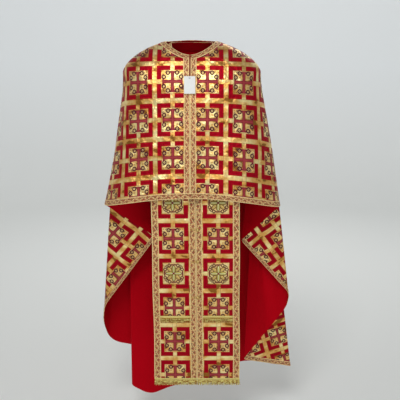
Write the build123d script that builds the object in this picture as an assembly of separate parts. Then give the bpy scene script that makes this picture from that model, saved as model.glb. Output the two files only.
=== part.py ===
from build123d import *
import math
import os

# A priest's chasuble (phelonion) with its stole, as it hangs on the shoulders. Millimetres, +Z up.
# The front faces -Y. "left" is the -X side and "right" the +X side, as seen from the front.
# The origin is the middle of the neck opening, at the height of the shoulders' top.

# ---- Driving dimensions of the shoulders and the chest: values at the front, the side and the back ----
NECK_HALF_WIDTH = 96.0
NECK_DEPTH_FRONT = 84.0
NECK_DEPTH_BACK = 70.0
NECK_HEIGHTS = (-46.0, 4.0, 10.0)
BUST_HALF_WIDTH = 263.0
BUST_DEPTH_FRONT = 146.0
BUST_DEPTH_BACK = 128.0
BUST_HEIGHTS = (-250.0, -114.0, -215.0)
SHOULDER_SLOPES = (0.80, 0.26, 0.42)
BUST_LEADS = (100.0, 36.0, 90.0)
SHOULDER_REACH = 0.6
NECK_ROUNDNESS = 2.2
BUST_ROUNDNESS = 2.6

# ---- The hem, from the front over the side pleats to the back ----
FRONT_LENGTH = 573.0
FRONT_DEPTH = 166.0
FRONT_CORNER = {"left": (344, -25, -622), "right": (346, -25, -628)}
CENTRE_BACK_HEM = (0, 236, -1486)
# Corners of the pleated hem: outward x, y, z, how far the fold is rounded, how straight it falls.
PLEATS = {
    "left": [
        (146, 34, -768, 14, 0.7),
        (368, 82, -1076, 30, 0.62),
        (388, 150, -1172, 60, 0.8),
        (366, 218, -1290, 60, 0.85),
        (200, 250, -1330, 14, 0.6),
        (274, 178, -1480, 18, 1.0),
        (190, 172, -1524, 40, 1.0),
        (110, 226, -1512, 50, 1.0),
    ],
    "right": [
        (198, 34, -784, 14, 1.0),
        (404, 78, -1022, 24, 0.8),
        (400, 112, -1090, 30, 0.9),
        (222, 196, -1368, 16, 1.0),
        (346, 230, -1402, 60, 1.0),
        (466, 242, -1424, 60, 1.0),
        (230, 300, -1412, 60, 1.0),
    ],
}
FRONT_FLARE = {"left": 1.45, "right": 0.95}
ROUND_STEPS = 5  # lines round each fold
SIDE_CORNERS = 6  # the corners that belong to the side pleats; the rest shape the back
FRONT_ANGLE = 84.0  # the front panel ends at this bearing round the body, from the centre front
BACK_ANGLE = 101.0  # and the back panel starts at this one
SIDE_SHARE = 0.8  # the side pieces take this share of the bearings in between
PANEL_GAP = 0.35  # bearing left free on each side of a joint between panels, in degrees
GUSSET_TOP = 0.45  # how far down the shoulder the side pieces start
PLEAT_TOP = 0.26  # how far down their fall the pleats open into separate leaves

# ---- Cloth and trims ----
BROCADE = (-1.4, 0.0)  # layers are given as distances outward from the cloth's outer face
LINING = (-2.9, -1.8)
GALLOON = (0.4, 1.4)
APPLIQUE = (1.6, 2.6)
GALLOON_WIDTH = 22.0
SLIT_END_Z = -145.0
SLIT_SHIFT = -6.0
SLIT_HALF_GAP = 2.5
SEAM_HALF_GAP = 0.3

# ---- Stole ----
STOLE_HALF_WIDTH = 168.0
STOLE_Y = -130.0
STOLE_SPLIT_Z = -592.0
STOLE_END_Z = -1308.0
STOLE_CENTRE = 8.0
STOLE_LEAN = -0.009
STOLE_GALLOON_WIDTH = 26.0
STOLE_INNER_GALLOON = 24.0
STOLE_BROCADE = 1.4
STOLE_TRIM = 1.2
BEND_ROOM = 3.0  # the galloons stop this far below the stole's bend
LAYER_GAP = 0.4
FRINGE_DROP = 28.0
FRINGE_Z = -1042.0
FRINGE_HEIGHT = 36.0
EMBROIDERY_SIZE = 80.0
EMBROIDERY_Z = (-636.0, -868.0)
BUTTON_RADIUS = 5.0
BUTTON_Z = (-700.0, -826.0, -970.0)
NECKBAND = 1.6

# ---- Back cross and tag ----
CROSS_Z = -330.0
CROSS_ARM = 95.0
CROSS_WIDTH = 44.0
TAG_WIDTH = 41.0
TAG_HEIGHT = 64.0
TAG_THICKNESS = 0.7
TAG_TOP_Z = -122.0
TAG_X = -7.0
TAG_CLEARANCE = 5.0


def save(name, shape):
    """Write one named piece."""
    export_step(shape, f"parts/{name}.step")


# ---------------------------------------------------------------- the cloth's shape
def mixed(values, bearing):
    """A front, side or back value, eased round the body by its bearing in degrees."""
    cosine = math.cos(math.radians(bearing))
    end = values[0] if cosine > 0 else values[2]
    return end * cosine**2 + values[1] * (1 - cosine**2)


def oval(bearing, width, front, back, roundness):
    """How far an oval's edge is from its middle, at a bearing."""
    sine = abs(math.sin(math.radians(bearing)))
    cosine = math.cos(math.radians(bearing))
    depth = front if cosine > 0 else back
    return ((sine / width) ** roundness + (abs(cosine) / depth) ** roundness) ** (-1 / roundness)


def bust_radius(bearing):
    return oval(bearing, BUST_HALF_WIDTH, BUST_DEPTH_FRONT, BUST_DEPTH_BACK, BUST_ROUNDNESS)


def shoulder_point(bearing, down):
    """A point of the yoke: down is 0 at the neck and 1 where the cloth starts to hang."""
    start = oval(bearing, NECK_HALF_WIDTH, NECK_DEPTH_FRONT, NECK_DEPTH_BACK, NECK_ROUNDNESS)
    end = bust_radius(bearing)
    top = mixed(NECK_HEIGHTS, bearing)
    bottom = mixed(BUST_HEIGHTS, bearing)
    reach = SHOULDER_REACH * (end - start)
    radii = (start, start + reach, end, end)
    heights = (
        top,
        top - reach * mixed(SHOULDER_SLOPES, bearing),
        bottom + mixed(BUST_LEADS, bearing),
        bottom,
    )
    rest = 1 - down
    weights = (rest**3, 3 * down * rest**2, 3 * down**2 * rest, down**3)
    radius = sum(w * r for w, r in zip(weights, radii))
    height = sum(w * h for w, h in zip(weights, heights))
    angle = math.radians(bearing)
    return Vector(radius * math.sin(angle), -radius * math.cos(angle), height)


def hanging_point(bearing, hem, flare, down):
    """A point of the hanging cloth: it leaves the bust plumb and then runs straight to the hem."""
    top = shoulder_point(bearing, 1)
    out = down**flare * (1 - (1 - down) ** 6)
    return Vector(
        top.X + (hem.X - top.X) * out,
        top.Y + (hem.Y - top.Y) * out,
        top.Z + (hem.Z - top.Z) * down,
    )


def front_hem(share, side):
    """The front hem, from the centre front (0) to its side corner (1)."""
    x, y, z = FRONT_CORNER[side]
    bow = (1 - share**2.8) ** 0.55
    return Vector(x * share, y - (FRONT_DEPTH + y) * bow, -FRONT_LENGTH + (z + FRONT_LENGTH) * share**2)


def front_bearing(share, side):
    """The bearing whose bust point hangs straight above that point of the front hem."""
    corner = FRONT_CORNER[side][0]
    last = bust_radius(FRONT_ANGLE) * math.sin(math.radians(FRONT_ANGLE))
    wanted = corner * share - (corner - last) * share**4
    low = 0.0
    high = FRONT_ANGLE
    for _ in range(40):
        middle = (low + high) / 2
        if bust_radius(middle) * math.sin(math.radians(middle)) < wanted:
            low = middle
        else:
            high = middle
    return low


def front_station(share, side):
    """(bearing, hem point, flare) of a line that the front cloth falls along."""
    flare = 1 + (FRONT_FLARE[side] - 1) * share
    return front_bearing(share, side), front_hem(share, side), flare


def front_stations(side, count=16):
    """The front's lines, closer together towards its side corner."""
    return [front_station(1 - (1 - i / count) ** 1.15, side) for i in range(count + 1)]


def pleat_stations(side, step=30.0):
    """The same for the pleated side and half of the back, and the index of each pleat's fold."""
    corners = PLEATS[side]
    points = [Vector(*FRONT_CORNER[side])]
    points += [Vector(*corner[:3]) for corner in corners]
    points.append(Vector(*CENTRE_BACK_HEM))
    hem = []
    folds = []
    start = points[0]
    for before, corner, after, spec in zip(points, points[1:], points[2:], corners):
        arriving = corner - before
        leaving = after - corner
        cut = min(spec[3], 0.45 * arriving.length, 0.45 * leaving.length)
        ease_in = corner - arriving.normalized() * cut
        ease_out = corner + leaving.normalized() * cut
        count = max(2, int((ease_in - start).length / step))
        hem += [start + (ease_in - start) * (i / count) for i in range(count)]
        folds.append(len(hem) + ROUND_STEPS // 2)
        for i in range(ROUND_STEPS):
            t = i / ROUND_STEPS
            hem.append(ease_in * (1 - t) ** 2 + corner * (2 * t * (1 - t)) + ease_out * t**2)
        start = ease_out
    count = max(2, int((points[-1] - start).length / step))
    hem += [start + (points[-1] - start) * (i / count) for i in range(count + 1)]
    along = [0.0]
    for a, b in zip(hem, hem[1:]):
        along.append(along[-1] + (b - a).length)
    marks = [0.0] + [along[i] for i in folds] + [along[-1]]
    flares = [FRONT_FLARE[side]] + [corner[4] for corner in corners] + [1.0]
    bearing_marks = [0.0, along[folds[0]], along[folds[SIDE_CORNERS - 1]], along[-1]]
    bearings = [FRONT_ANGLE, 90.0, BACK_ANGLE, 180.0]
    stations = []
    for distance, point in zip(along, hem):
        bearing = between(distance, bearing_marks, bearings)
        stations.append((bearing, point, between(distance, marks, flares)))
    return stations, folds


def between(x, marks, values):
    """Straight-line reading of a table."""
    for i in range(len(marks) - 2):
        if x <= marks[i + 1]:
            break
    else:
        i = len(marks) - 2
    share = (x - marks[i]) / (marks[i + 1] - marks[i])
    return values[i] + (values[i + 1] - values[i]) * min(1, max(0, share))


def edge_bearing(bearing, down, kind):
    """On the yoke the panels' edges close up towards the shoulder's top line."""
    if kind == "front":
        return bearing * (90 - (90 - FRONT_ANGLE) * down - PANEL_GAP) / FRONT_ANGLE
    if kind == "back":
        reach = 180 - BACK_ANGLE
        return 180 - (180 - bearing) * (90 - (BACK_ANGLE - 90) * down - PANEL_GAP) / reach
    middle = (FRONT_ANGLE + BACK_ANGLE) / 2
    bearing = middle + (bearing - middle) * SIDE_SHARE
    return 90 + (bearing - 90) * min(1, down)


def column(station, downs, kind, side):
    """Points down one line: downs run 0 to 1 on the yoke and 1 to 2 to the hem."""
    bearing, hem, flare = station
    points = []
    for down in downs:
        turned = edge_bearing(bearing, min(1, down), kind)
        if down < 1:
            point = shoulder_point(turned, down)
        else:
            point = hanging_point(turned, hem, flare, down - 1)
        x = point.X if side == "right" else -point.X
        if kind == "front":
            x += front_shift(x)
        points.append(Vector(x, point.Y, point.Z))
    return points


def front_shift(x):
    """The slit hangs a little to one side of the middle."""
    return SLIT_SHIFT * max(0, 1 - (x / BUST_HALF_WIDTH) ** 2)


# ---------------------------------------------------------------- solids from grids
def shifted(grid, distance):
    """A grid of points moved along the cloth's own outward direction."""
    rows = len(grid)
    columns = len(grid[0])
    moved = []
    for i in range(rows):
        line = []
        for j in range(columns):
            down = grid[min(i + 1, rows - 1)][j] - grid[max(i - 1, 0)][j]
            across = grid[i][min(j + 1, columns - 1)] - grid[i][max(j - 1, 0)]
            line.append(grid[i][j] + down.cross(across).normalized() * distance)
        moved.append(line)
    return moved


def sheet(grid, layer):
    """A closed layer of cloth between two distances from a grid of points."""
    low = [Edge.make_spline(row) for row in shifted(grid, layer[0])]
    high = [Edge.make_spline(row) for row in shifted(grid, layer[1])]
    faces = [strip(a, b) for a, b in zip(low, low[1:])]
    faces += [strip(a, b) for a, b in zip(high, high[1:])]
    faces += [strip(low[0], high[0]), strip(low[-1], high[-1])]
    for end in (0, 1):
        rungs = [Edge.make_line(a @ end, b @ end) for a, b in zip(low, high)]
        faces += [strip(a, b) for a, b in zip(rungs, rungs[1:])]
    return Solid(Shell(faces))


def strip(first, second):
    """The ruled face between two edges."""
    return Face.make_surface_from_curves(edge1=first, edge2=second)


def rows_of(columns, side):
    """Turn a list of columns into rows that run so that the cloth's outside is outward."""
    if side == "left":
        columns = columns[::-1]
    return [list(row) for row in zip(*columns)]


def steps(start, end, count):
    return [start + (end - start) * i / count for i in range(count + 1)]


def mixed_station(first, second, share):
    """A station part of the way from one to the next."""
    hem = first[1] + (second[1] - first[1]) * share
    bearing = first[0] + (second[0] - first[0]) * share
    return bearing, hem, first[2] + (second[2] - first[2]) * share


def side_and_back(side):
    """The stations of the side pleats and of that half of the back, parted at the last fold."""
    stations, folds = pleat_stations(side)
    last = folds[SIDE_CORNERS - 1]
    half_fold = ROUND_STEPS // 2
    pleats = [mixed_station(stations[0], stations[1], 0.3)] + stations[1 : last - half_fold + 1]
    back = stations[last + ROUND_STEPS - half_fold :]
    return pleats, back


def fall(station):
    """How far a line's cloth falls, from the bust to the hem."""
    return (station[1] - shoulder_point(station[0], 1)).length


def hem_band(stations, kind, side, edge=0.0):
    """Columns of the strip of galloon just above the hem."""
    columns = []
    for station in stations:
        length = fall(station)
        downs = steps(2 - (GALLOON_WIDTH + edge) / length, 2 - edge / length, 2)
        columns.append(column(station, downs, kind, side))
    return columns


def neck_width(bearing, width):
    """How far down the yoke a strip of that width reaches, from the neck's edge."""
    low = 0.0
    high = 0.5
    edge = shoulder_point(bearing, 0)
    for _ in range(30):
        middle = (low + high) / 2
        if (shoulder_point(bearing, middle) - edge).length < width:
            low = middle
        else:
            high = middle
    return low


def parted(columns, side):
    """Open the centre front: a slit at the neck, and a seam's width below it."""
    sign = 1 if side == "right" else -1
    inner = []
    for point in columns[0]:
        gap = SLIT_HALF_GAP if point.Z > SLIT_END_Z else SEAM_HALF_GAP
        inner.append(Vector(SLIT_SHIFT + sign * gap, point.Y, point.Z))
    return [inner] + columns[1:]


# ---------------------------------------------------------------- chasuble
def make_front(side):
    """One half of the front, its lining and its three galloons."""
    downs = steps(0, 0.98, 8) + steps(1.06, 2, 8)
    columns = [column(s, downs, "front", side) for s in front_stations(side)]
    grid = rows_of(parted(columns, side), side)
    save(f"front_brocade_{side}", sheet(grid, BROCADE))
    save(f"front_lining_{side}", sheet(grid, LINING))

    shares = [GALLOON_WIDTH / FRONT_CORNER[side][0] * i / 3 for i in range(4)]
    stations = [front_station(share, side) for share in shares]
    first = neck_width(0, GALLOON_WIDTH) + 0.01
    last = 2 - (GALLOON_WIDTH + 1) / fall(stations[0])
    downs = steps(first, 0.98, 8) + steps(1.06, last, 6)
    columns = [column(s, downs, "front", side) for s in stations]
    save(f"centre_galloon_{side}", sheet(rows_of(parted(columns, side), side), GALLOON))

    columns = hem_band(front_stations(side), "front", side)
    save(f"front_hem_galloon_{side}", sheet(rows_of(parted(columns, side), side), GALLOON))

    columns = []
    for station in front_stations(side, 12):
        downs = steps(0, neck_width(edge_bearing(station[0], 0, "front"), GALLOON_WIDTH), 2)
        columns.append(column(station, downs, "front", side))
    save(f"neck_galloon_{side}", sheet(rows_of(parted(columns, side), side), GALLOON))


def make_side(side):
    """The pleats that the cloth falls into below the arm, with the gusset over the shoulder."""
    pleats, _ = side_and_back(side)
    columns = [column(s, steps(1 + PLEAT_TOP, 2, 8), "side", side) for s in pleats]
    grid = rows_of(columns, side)
    ends = (pleats[0], pleats[-1])
    gusset_downs = steps(GUSSET_TOP, 0.98, 4) + steps(1.05, 1 + PLEAT_TOP - 0.01, 3)
    across = [mixed_station(*ends, i / 4) for i in range(5)]
    gusset = rows_of([column(s, gusset_downs, "side", side) for s in across], side)
    for name, layer in (("brocade", BROCADE), ("lining", LINING)):
        save(f"side_{name}_{side}", Compound([sheet(gusset, layer), sheet(grid, layer)]))
    band = rows_of(hem_band(pleats, "side", side), side)
    save(f"side_hem_galloon_{side}", sheet(band, GALLOON))


def make_back():
    """The back in one piece from side to side, with its hem, its neck and its cross."""
    halves = {side: side_and_back(side)[1] for side in ("left", "right")}

    def across(make):
        """Columns from the left edge over the centre to the right edge, outside outward."""
        left = [make(station, "left") for station in halves["left"]]
        right = [make(station, "right") for station in halves["right"]]
        return [list(row) for row in zip(*(right + left[::-1][1:]))]

    downs = steps(0, 0.98, 8) + steps(1.05, 2, 10)
    grid = across(lambda station, side: column(station, downs, "back", side))
    save("back_brocade", sheet(grid, BROCADE))
    save("back_lining", sheet(grid, LINING))

    def hem_column(station, side):
        return hem_band([station], "back", side)[0]

    def neck_column(station, side):
        reach = neck_width(edge_bearing(station[0], 0, "back"), GALLOON_WIDTH)
        return column(station, steps(0, reach, 2), "back", side)

    save("back_hem_galloon", sheet(across(hem_column), GALLOON))
    save("neck_galloon_back", sheet(across(neck_column), GALLOON))
    save("back_cross", make_cross(halves))


def back_point(x, z, halves):
    """A point on the back's outer face, near the middle."""
    side = "right" if x >= 0 else "left"
    low = 90.0
    high = 180.0
    for _ in range(30):
        bearing = (low + high) / 2
        if bust_radius(bearing) * math.sin(math.radians(bearing)) > abs(x):
            low = bearing
        else:
            high = bearing
    for before, after in zip(halves[side], halves[side][1:]):
        if after[0] >= bearing:
            break
    station = mixed_station(before, after, (bearing - before[0]) / (after[0] - before[0]))
    top = shoulder_point(station[0], 1).Z
    down = 1 + (top - z) / (top - station[1].Z)
    return column(station, [down], "back", side)[0]


def make_cross(halves):
    """A cross of galloon between the shoulder blades: an upright and two arms."""
    half = CROSS_WIDTH / 2
    bars = (
        (-half, half, CROSS_Z + CROSS_ARM, CROSS_Z - CROSS_ARM * 1.3),
        (half + 0.3, CROSS_ARM, CROSS_Z + half, CROSS_Z - half),
        (-CROSS_ARM, -half - 0.3, CROSS_Z + half, CROSS_Z - half),
    )
    solids = []
    for low, high, top, bottom in bars:
        rows = [
            [back_point(x, z, halves) for x in steps(high, low, 4)] for z in steps(top, bottom, 4)
        ]
        solids.append(sheet(rows, APPLIQUE))
    return Compound(solids)


# ---------------------------------------------------------------- stole
def stole_centre(z):
    """The stole hangs a little off the middle and leans."""
    share = min(1, max(0, -z / 220))
    return (STOLE_CENTRE + STOLE_LEAN * z) * share**2 * (3 - 2 * share)


def stole_slab(edges, z_range, front, thickness):
    """A flat piece of the hanging stole: edges are x at its left and right, from the centre line."""
    low, high = z_range
    corners = [
        (stole_centre(high) + edges[0], high),
        (stole_centre(high) + edges[1], high),
        (stole_centre(low) + edges[1], low),
        (stole_centre(low) + edges[0], low),
    ]
    outline = Face(Wire.make_polygon([Vector(x, front, z) for x, z in corners], close=True))
    return Solid.extrude(outline, Vector(0, thickness, 0))


def half_edges(side, inner, outer):
    """A strip of one half of the stole, as distances from its centre line."""
    return (-outer, -inner) if side == "left" else (inner, outer)


def make_stole_upper(side):
    """One half above the chasuble's hem: from beside the neck down the chest."""
    inner = Edge.make_spline(
        [
            Vector(*point)
            for point in (
                (78, -5, 0),
                (70, -44, -36),
                (40, -78, -104),
                (7, -100, -176),
                (4, -118, -270),
                (2, -128, -390),
                (1.5, STOLE_Y, STOLE_SPLIT_Z + 1),
            )
        ]
    )
    outer = Edge.make_spline(
        [
            Vector(*point)
            for point in (
                (124, -3, -24),
                (127, -48, -68),
                (134, -82, -136),
                (143, -104, -216),
                (153, -119, -306),
                (163, -128, -420),
                (STOLE_HALF_WIDTH, STOLE_Y, STOLE_SPLIT_Z + 1),
            )
        ]
    )
    sign = 1 if side == "right" else -1

    def strip_rows(first, last):
        """Rows across the half, between two shares of its width."""
        rows = []
        for t in steps(0, 1, 12):
            row = []
            for share in steps(first, last, 3):
                point = inner @ t + (outer @ t - inner @ t) * share
                row.append(Vector(sign * point.X + stole_centre(point.Z), point.Y, point.Z))
            rows.append(row if side == "right" else row[::-1])
        return rows

    whole = strip_rows(0, 1)
    save(f"stole_chest_{side}", sheet(whole, (0, STOLE_BROCADE)))
    save(f"stole_chest_lining_{side}", sheet(whole, (-LAYER_GAP - 1, -LAYER_GAP)))
    trim = (STOLE_BROCADE + LAYER_GAP, STOLE_BROCADE + LAYER_GAP + STOLE_TRIM)
    bands = [sheet(strip_rows(*shares), trim) for shares in ((0, 0.14), (0.85, 1))]
    save(f"stole_chest_galloons_{side}", Compound(bands))


def make_neckband():
    """The stole's band round the back of the neck, lying below the chasuble's collar."""
    rows = []
    for share in steps(0, 1, 3):
        row = []
        for bearing in steps(267, 93, 24):
            angle = math.radians(bearing)
            radius = oval(bearing, 78 + 46 * share, 60, 58 + 34 * share, NECK_ROUNDNESS)
            cosine = math.cos(angle)
            height = (2 - 30 * share) * cosine**2 - 24 * share * (1 - cosine**2)
            row.append(Vector(radius * math.sin(angle), -radius * cosine, height))
        rows.append(row)
    save("neckband", sheet(rows[::-1], (-NECKBAND, 0)))
    save("neckband_lining", sheet(rows[::-1], (LAYER_GAP, LAYER_GAP + 1)))


def make_stole_lower(side):
    """One half below the hem: brocade, lining, galloons, fringe and embroidered crosses."""
    face = STOLE_Y - STOLE_BROCADE
    trim = face - LAYER_GAP - STOLE_TRIM
    whole = half_edges(side, 0.5, STOLE_HALF_WIDTH)
    height = (STOLE_END_Z, STOLE_SPLIT_Z - 1)
    banded = (STOLE_END_Z, STOLE_SPLIT_Z - BEND_ROOM)
    inside = STOLE_INNER_GALLOON
    outside = STOLE_HALF_WIDTH - STOLE_GALLOON_WIDTH
    save(f"stole_brocade_{side}", stole_slab(whole, height, face, STOLE_BROCADE))
    save(f"stole_lining_{side}", stole_slab(whole, height, STOLE_Y + LAYER_GAP, 1.0))
    outer = half_edges(side, outside, STOLE_HALF_WIDTH)
    inner = half_edges(side, 0.5, inside)
    save(f"stole_outer_galloon_{side}", stole_slab(outer, banded, trim, STOLE_TRIM))
    save(f"stole_inner_galloon_{side}", stole_slab(inner, banded, trim, STOLE_TRIM))
    between_them = half_edges(side, inside + 0.5, outside - 0.5)
    rows = (FRINGE_Z - FRINGE_HEIGHT, FRINGE_Z)
    save(f"upper_fringe_{side}", stole_slab(between_them, rows, trim - 0.6, STOLE_TRIM + 0.6))
    below = (STOLE_END_Z - FRINGE_DROP, STOLE_END_Z - LAYER_GAP)
    save(f"bottom_fringe_{side}", stole_slab(whole, below, trim, 3.0))
    middle = (inside + outside) / 2
    half = EMBROIDERY_SIZE / 2
    patch = half_edges(side, middle - half, middle + half)
    crosses = [stole_slab(patch, (z - half, z + half), trim, STOLE_TRIM) for z in EMBROIDERY_Z]
    save(f"embroidered_crosses_{side}", Compound(crosses))


def make_buttons():
    """Domed buttons down the centre line, each in a loop of cord."""
    front = STOLE_Y - STOLE_BROCADE - LAYER_GAP - STOLE_TRIM
    buttons = []
    loops = []
    for z in BUTTON_Z:
        place = Location((stole_centre(z) + 7, front - 0.2, z), (90, 0, 0))
        dome = Sphere(BUTTON_RADIUS) & Pos(0, 0, BUTTON_RADIUS) * Box(20, 20, 2 * BUTTON_RADIUS)
        buttons.append((place * dome).solids()[0])
        loops.append((place * Pos(0, 0, 1) * Torus(BUTTON_RADIUS + 1.2, 0.8)).solids()[0])
    save("stole_buttons", Compound(buttons))
    save("button_loops", Compound(loops))


# ---------------------------------------------------------------- tag
def chest_down(z):
    """How far down the centre front of the yoke a height is."""
    low = 0.0
    high = 1.0
    for _ in range(40):
        middle = (low + high) / 2
        if shoulder_point(0, middle).Z > z:
            low = middle
        else:
            high = middle
    return low


def make_tag():
    """A blank card hanging from a small barb in the foot of the slit."""
    top = shoulder_point(0, chest_down(TAG_TOP_Z))
    bottom = shoulder_point(0, chest_down(TAG_TOP_Z - TAG_HEIGHT))
    lean = math.degrees(math.atan2(top.Y - bottom.Y, top.Z - bottom.Z))
    middle = (top + bottom) / 2
    place = Pos(TAG_X, middle.Y - TAG_CLEARANCE, middle.Z) * Rot(90 - lean, 0, 0)
    hole = Pos(0, TAG_HEIGHT / 2 - 6, 0)
    card = extrude(RectangleRounded(TAG_WIDTH, TAG_HEIGHT, 1.5), TAG_THICKNESS)
    card -= hole * Cylinder(2.0, 4)
    save("tag_card", place * card)
    ring = extrude(Circle(3.2), 0.4) - extrude(Circle(1.6), 0.4)
    save("tag_eyelet", place * hole * Pos(0, 0, TAG_THICKNESS + 0.05) * ring)
    barb = Pos(0, 0, -2) * Cylinder(0.7, 9) + Pos(0, 0, 2.6) * Cylinder(2.4, 0.8)
    save("tag_barb", place * hole * barb)


os.makedirs("parts", exist_ok=True)
for name in ("left", "right"):
    make_front(name)
    make_side(name)
    make_stole_upper(name)
    make_stole_lower(name)
make_back()
make_neckband()
make_buttons()
make_tag()
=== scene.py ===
import functools
import math
import random

import bpy
import numpy as np
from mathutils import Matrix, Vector


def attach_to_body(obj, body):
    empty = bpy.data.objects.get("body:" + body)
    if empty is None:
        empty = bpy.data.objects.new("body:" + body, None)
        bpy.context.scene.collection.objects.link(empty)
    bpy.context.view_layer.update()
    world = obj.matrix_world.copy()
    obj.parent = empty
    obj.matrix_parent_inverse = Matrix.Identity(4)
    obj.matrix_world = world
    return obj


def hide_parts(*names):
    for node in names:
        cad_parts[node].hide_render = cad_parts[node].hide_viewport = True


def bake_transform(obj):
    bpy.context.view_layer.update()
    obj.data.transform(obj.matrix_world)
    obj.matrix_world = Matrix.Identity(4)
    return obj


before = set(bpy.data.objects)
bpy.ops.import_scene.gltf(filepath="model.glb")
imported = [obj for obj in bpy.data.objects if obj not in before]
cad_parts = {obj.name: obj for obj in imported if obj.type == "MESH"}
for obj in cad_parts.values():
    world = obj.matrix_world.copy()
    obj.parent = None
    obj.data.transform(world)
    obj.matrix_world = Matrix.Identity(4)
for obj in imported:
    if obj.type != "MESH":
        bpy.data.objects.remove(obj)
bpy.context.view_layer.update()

# A chasuble (phelonion) and its stole as cloth: brocade, satin lining, galloons, fringe and embroidery.
# The cloth's shape is worked out in millimetres, like a paper pattern, and its meshes are made in metres.
MM = 0.001

# ---- Shoulders and chest: values at the front, the side and the back ----
NECK_WIDTH, NECK_FRONT, NECK_BACK, NECK_ROUNDNESS = 96.0, 84.0, 70.0, 2.2
BUST_WIDTH, BUST_FRONT, BUST_BACK, BUST_ROUNDNESS = 263.0, 146.0, 128.0, 2.6
NECK_HEIGHTS = (-46.0, 4.0, 10.0)
BUST_HEIGHTS = (-250.0, -114.0, -215.0)
SHOULDER_SLOPES = (0.80, 0.26, 0.42)
BUST_LEADS = (100.0, 36.0, 90.0)
SHOULDER_REACH = 0.6

# ---- The hem ----
FRONT_LENGTH = 573.0
FRONT_DEPTH = 166.0
FRONT_CORNER = {"left": (344, -25, -622), "right": (346, -25, -628)}
CENTRE_BACK_HEM = (0, 236, -1486)
# Corners of the pleated hem: outward x, y, z, how far the fold is rounded, how straight it falls.
PLEATS = {
    "left": [
        (146, 34, -768, 14, 0.7),
        (368, 82, -1076, 30, 0.62),
        (388, 150, -1172, 60, 0.8),
        (366, 218, -1290, 60, 0.85),
        (200, 250, -1330, 14, 0.6),
        (274, 178, -1480, 18, 1.0),
        (190, 172, -1524, 40, 1.0),
        (110, 226, -1512, 50, 1.0),
    ],
    "right": [
        (198, 34, -784, 14, 1.0),
        (404, 78, -1022, 24, 0.8),
        (400, 112, -1090, 30, 0.9),
        (222, 196, -1368, 16, 1.0),
        (346, 230, -1402, 60, 1.0),
        (466, 242, -1424, 60, 1.0),
        (230, 300, -1412, 60, 1.0),
    ],
}
FRONT_FLARE = {"left": 1.45, "right": 0.95}
SIDE_CORNERS = 6
FRONT_ANGLE, BACK_ANGLE = 84.0, 101.0
SLIT_SHIFT, SLIT_HALF_GAP, SLIT_END, SEAM_HALF_GAP = -6.0, 2.5, 145.0, 0.3

# ---- How finely the cloth is meshed ----
YOKE_ROWS, HANG_ROWS = 26, 60
FRONT_COLUMNS, FOLD_STEPS, HEM_STEP = 44, 9, 14.0
CENTRE_ROWS = 130  # of the galloon down the centre front

# ---- Cloth and trims: layers are distances outward from the cloth's outer face ----
BROCADE = (-0.9, 0.0)
LINING = (-2.3, -1.5)
GALLOON_THICKNESS = 1.1
GALLOON_LIFT = 0.25
GALLOON_WIDTH = 22.0
REPEAT = (135.0, 139.0)  # the brocade's repeat, across and down
FRONT_CROSS = (64.0, 140.0)  # a cross of the pattern, from the centre front and from the origin's height
SKIPPED = {"left": 7, "right": 0}  # repeats of the bolt between the two sides' cuts
GORE_TURN, GORE_SLIP = -16.0, (-67.4, 68.0)  # how the left outer pleat's thread lies against the back's

# ---- Stole ----
STOLE_HALF_WIDTH, STOLE_Y = 168.0, -130.0
STOLE_END, FRINGE_END = -1308.0, -1336.0
STOLE_CENTRE, STOLE_LEAN = 8.0, -0.009
OUTER_GALLOON, INNER_GALLOON = 26.0, 24.0
STOLE_CROSS = (86.0, 595.0)  # a cross of the pattern, as FRONT_CROSS
EMBROIDERED_ROWS = (0, 2)  # repeats below that cross which are embroidered over
# Inner and outer edges above the bend, from beside the neck down the chest.
STOLE_INNER = (
    (78, -5, 0),
    (70, -44, -36),
    (40, -78, -104),
    (7, -100, -176),
    (4, -118, -270),
    (2, -128, -390),
    (1, -131, -591),
)
STOLE_OUTER = (
    (124, -3, -24),
    (127, -48, -68),
    (134, -82, -136),
    (143, -104, -216),
    (153, -119, -306),
    (163, -129, -420),
    (168, -131, -591),
)
# Fringes: top and end, depth of the corded heading, distance between strands.
UPPER_FRINGE = ((-1044.0, -1076.0), 11.0, 2.1)
LOWER_FRINGE = ((STOLE_END + 4, FRINGE_END), 8.0, 1.25)
STRAND_RADII = (0.75, 0.95, 1.0, 1.0, 0.9, 0.45)
CORD_PITCH = 2.4  # of the heading
BUTTON_HEIGHTS = (-700.0, -826.0, -970.0)
BUTTON_ASIDE = 7.0
LOOP_RADIUS, LOOP_REACH, LOOP_FORWARD = 6.3, 26, 2.3
PLY_RADIUS, PLY_OFFSET = 0.55, 0.45  # of a loop's cord
# Band round the back of the neck: width and back depth at its top and how much they grow to its foot.
NECKBAND_WIDTH, NECKBAND_BACK, NECKBAND_FRONT = (78, 46), (58, 34), 60
NECKBAND_ENDS = (266, 94)
NECKBAND_RISE, NECKBAND_DROP, NECKBAND_SIDE_DROP = 2, 30, 24
BACK_FOLD_DEPTH, BACK_RIPPLE_DEPTH = 13.0, 3.6
# A button's side view: radius and distance forward.
BUTTON_PROFILE = (
    (3.2, 0.2),
    (4.4, 0.5),
    (5.0, 1.2),
    (5.0, 1.8),
    (4.7, 2.2),
    (4.4, 2.3),
    (4.0, 3.0),
    (3.0, 3.9),
    (1.8, 4.5),
    (0.5, 4.8),
)

# ---- Raised edges and flat middle of a galloon: place across it, and rise as a share of its thickness ----
HALF_BAND = ((0.0, 0.1), (0.03, 0.8), (0.075, 1.1), (0.12, 0.72), (0.3, 0.85))
BAND_SHARES = np.array([p for p, _ in HALF_BAND] + [0.5] + [1 - p for p, _ in HALF_BAND[::-1]])
BAND_RISES = np.array([r for _, r in HALF_BAND] + [0.9] + [r for _, r in HALF_BAND[::-1]])

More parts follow.
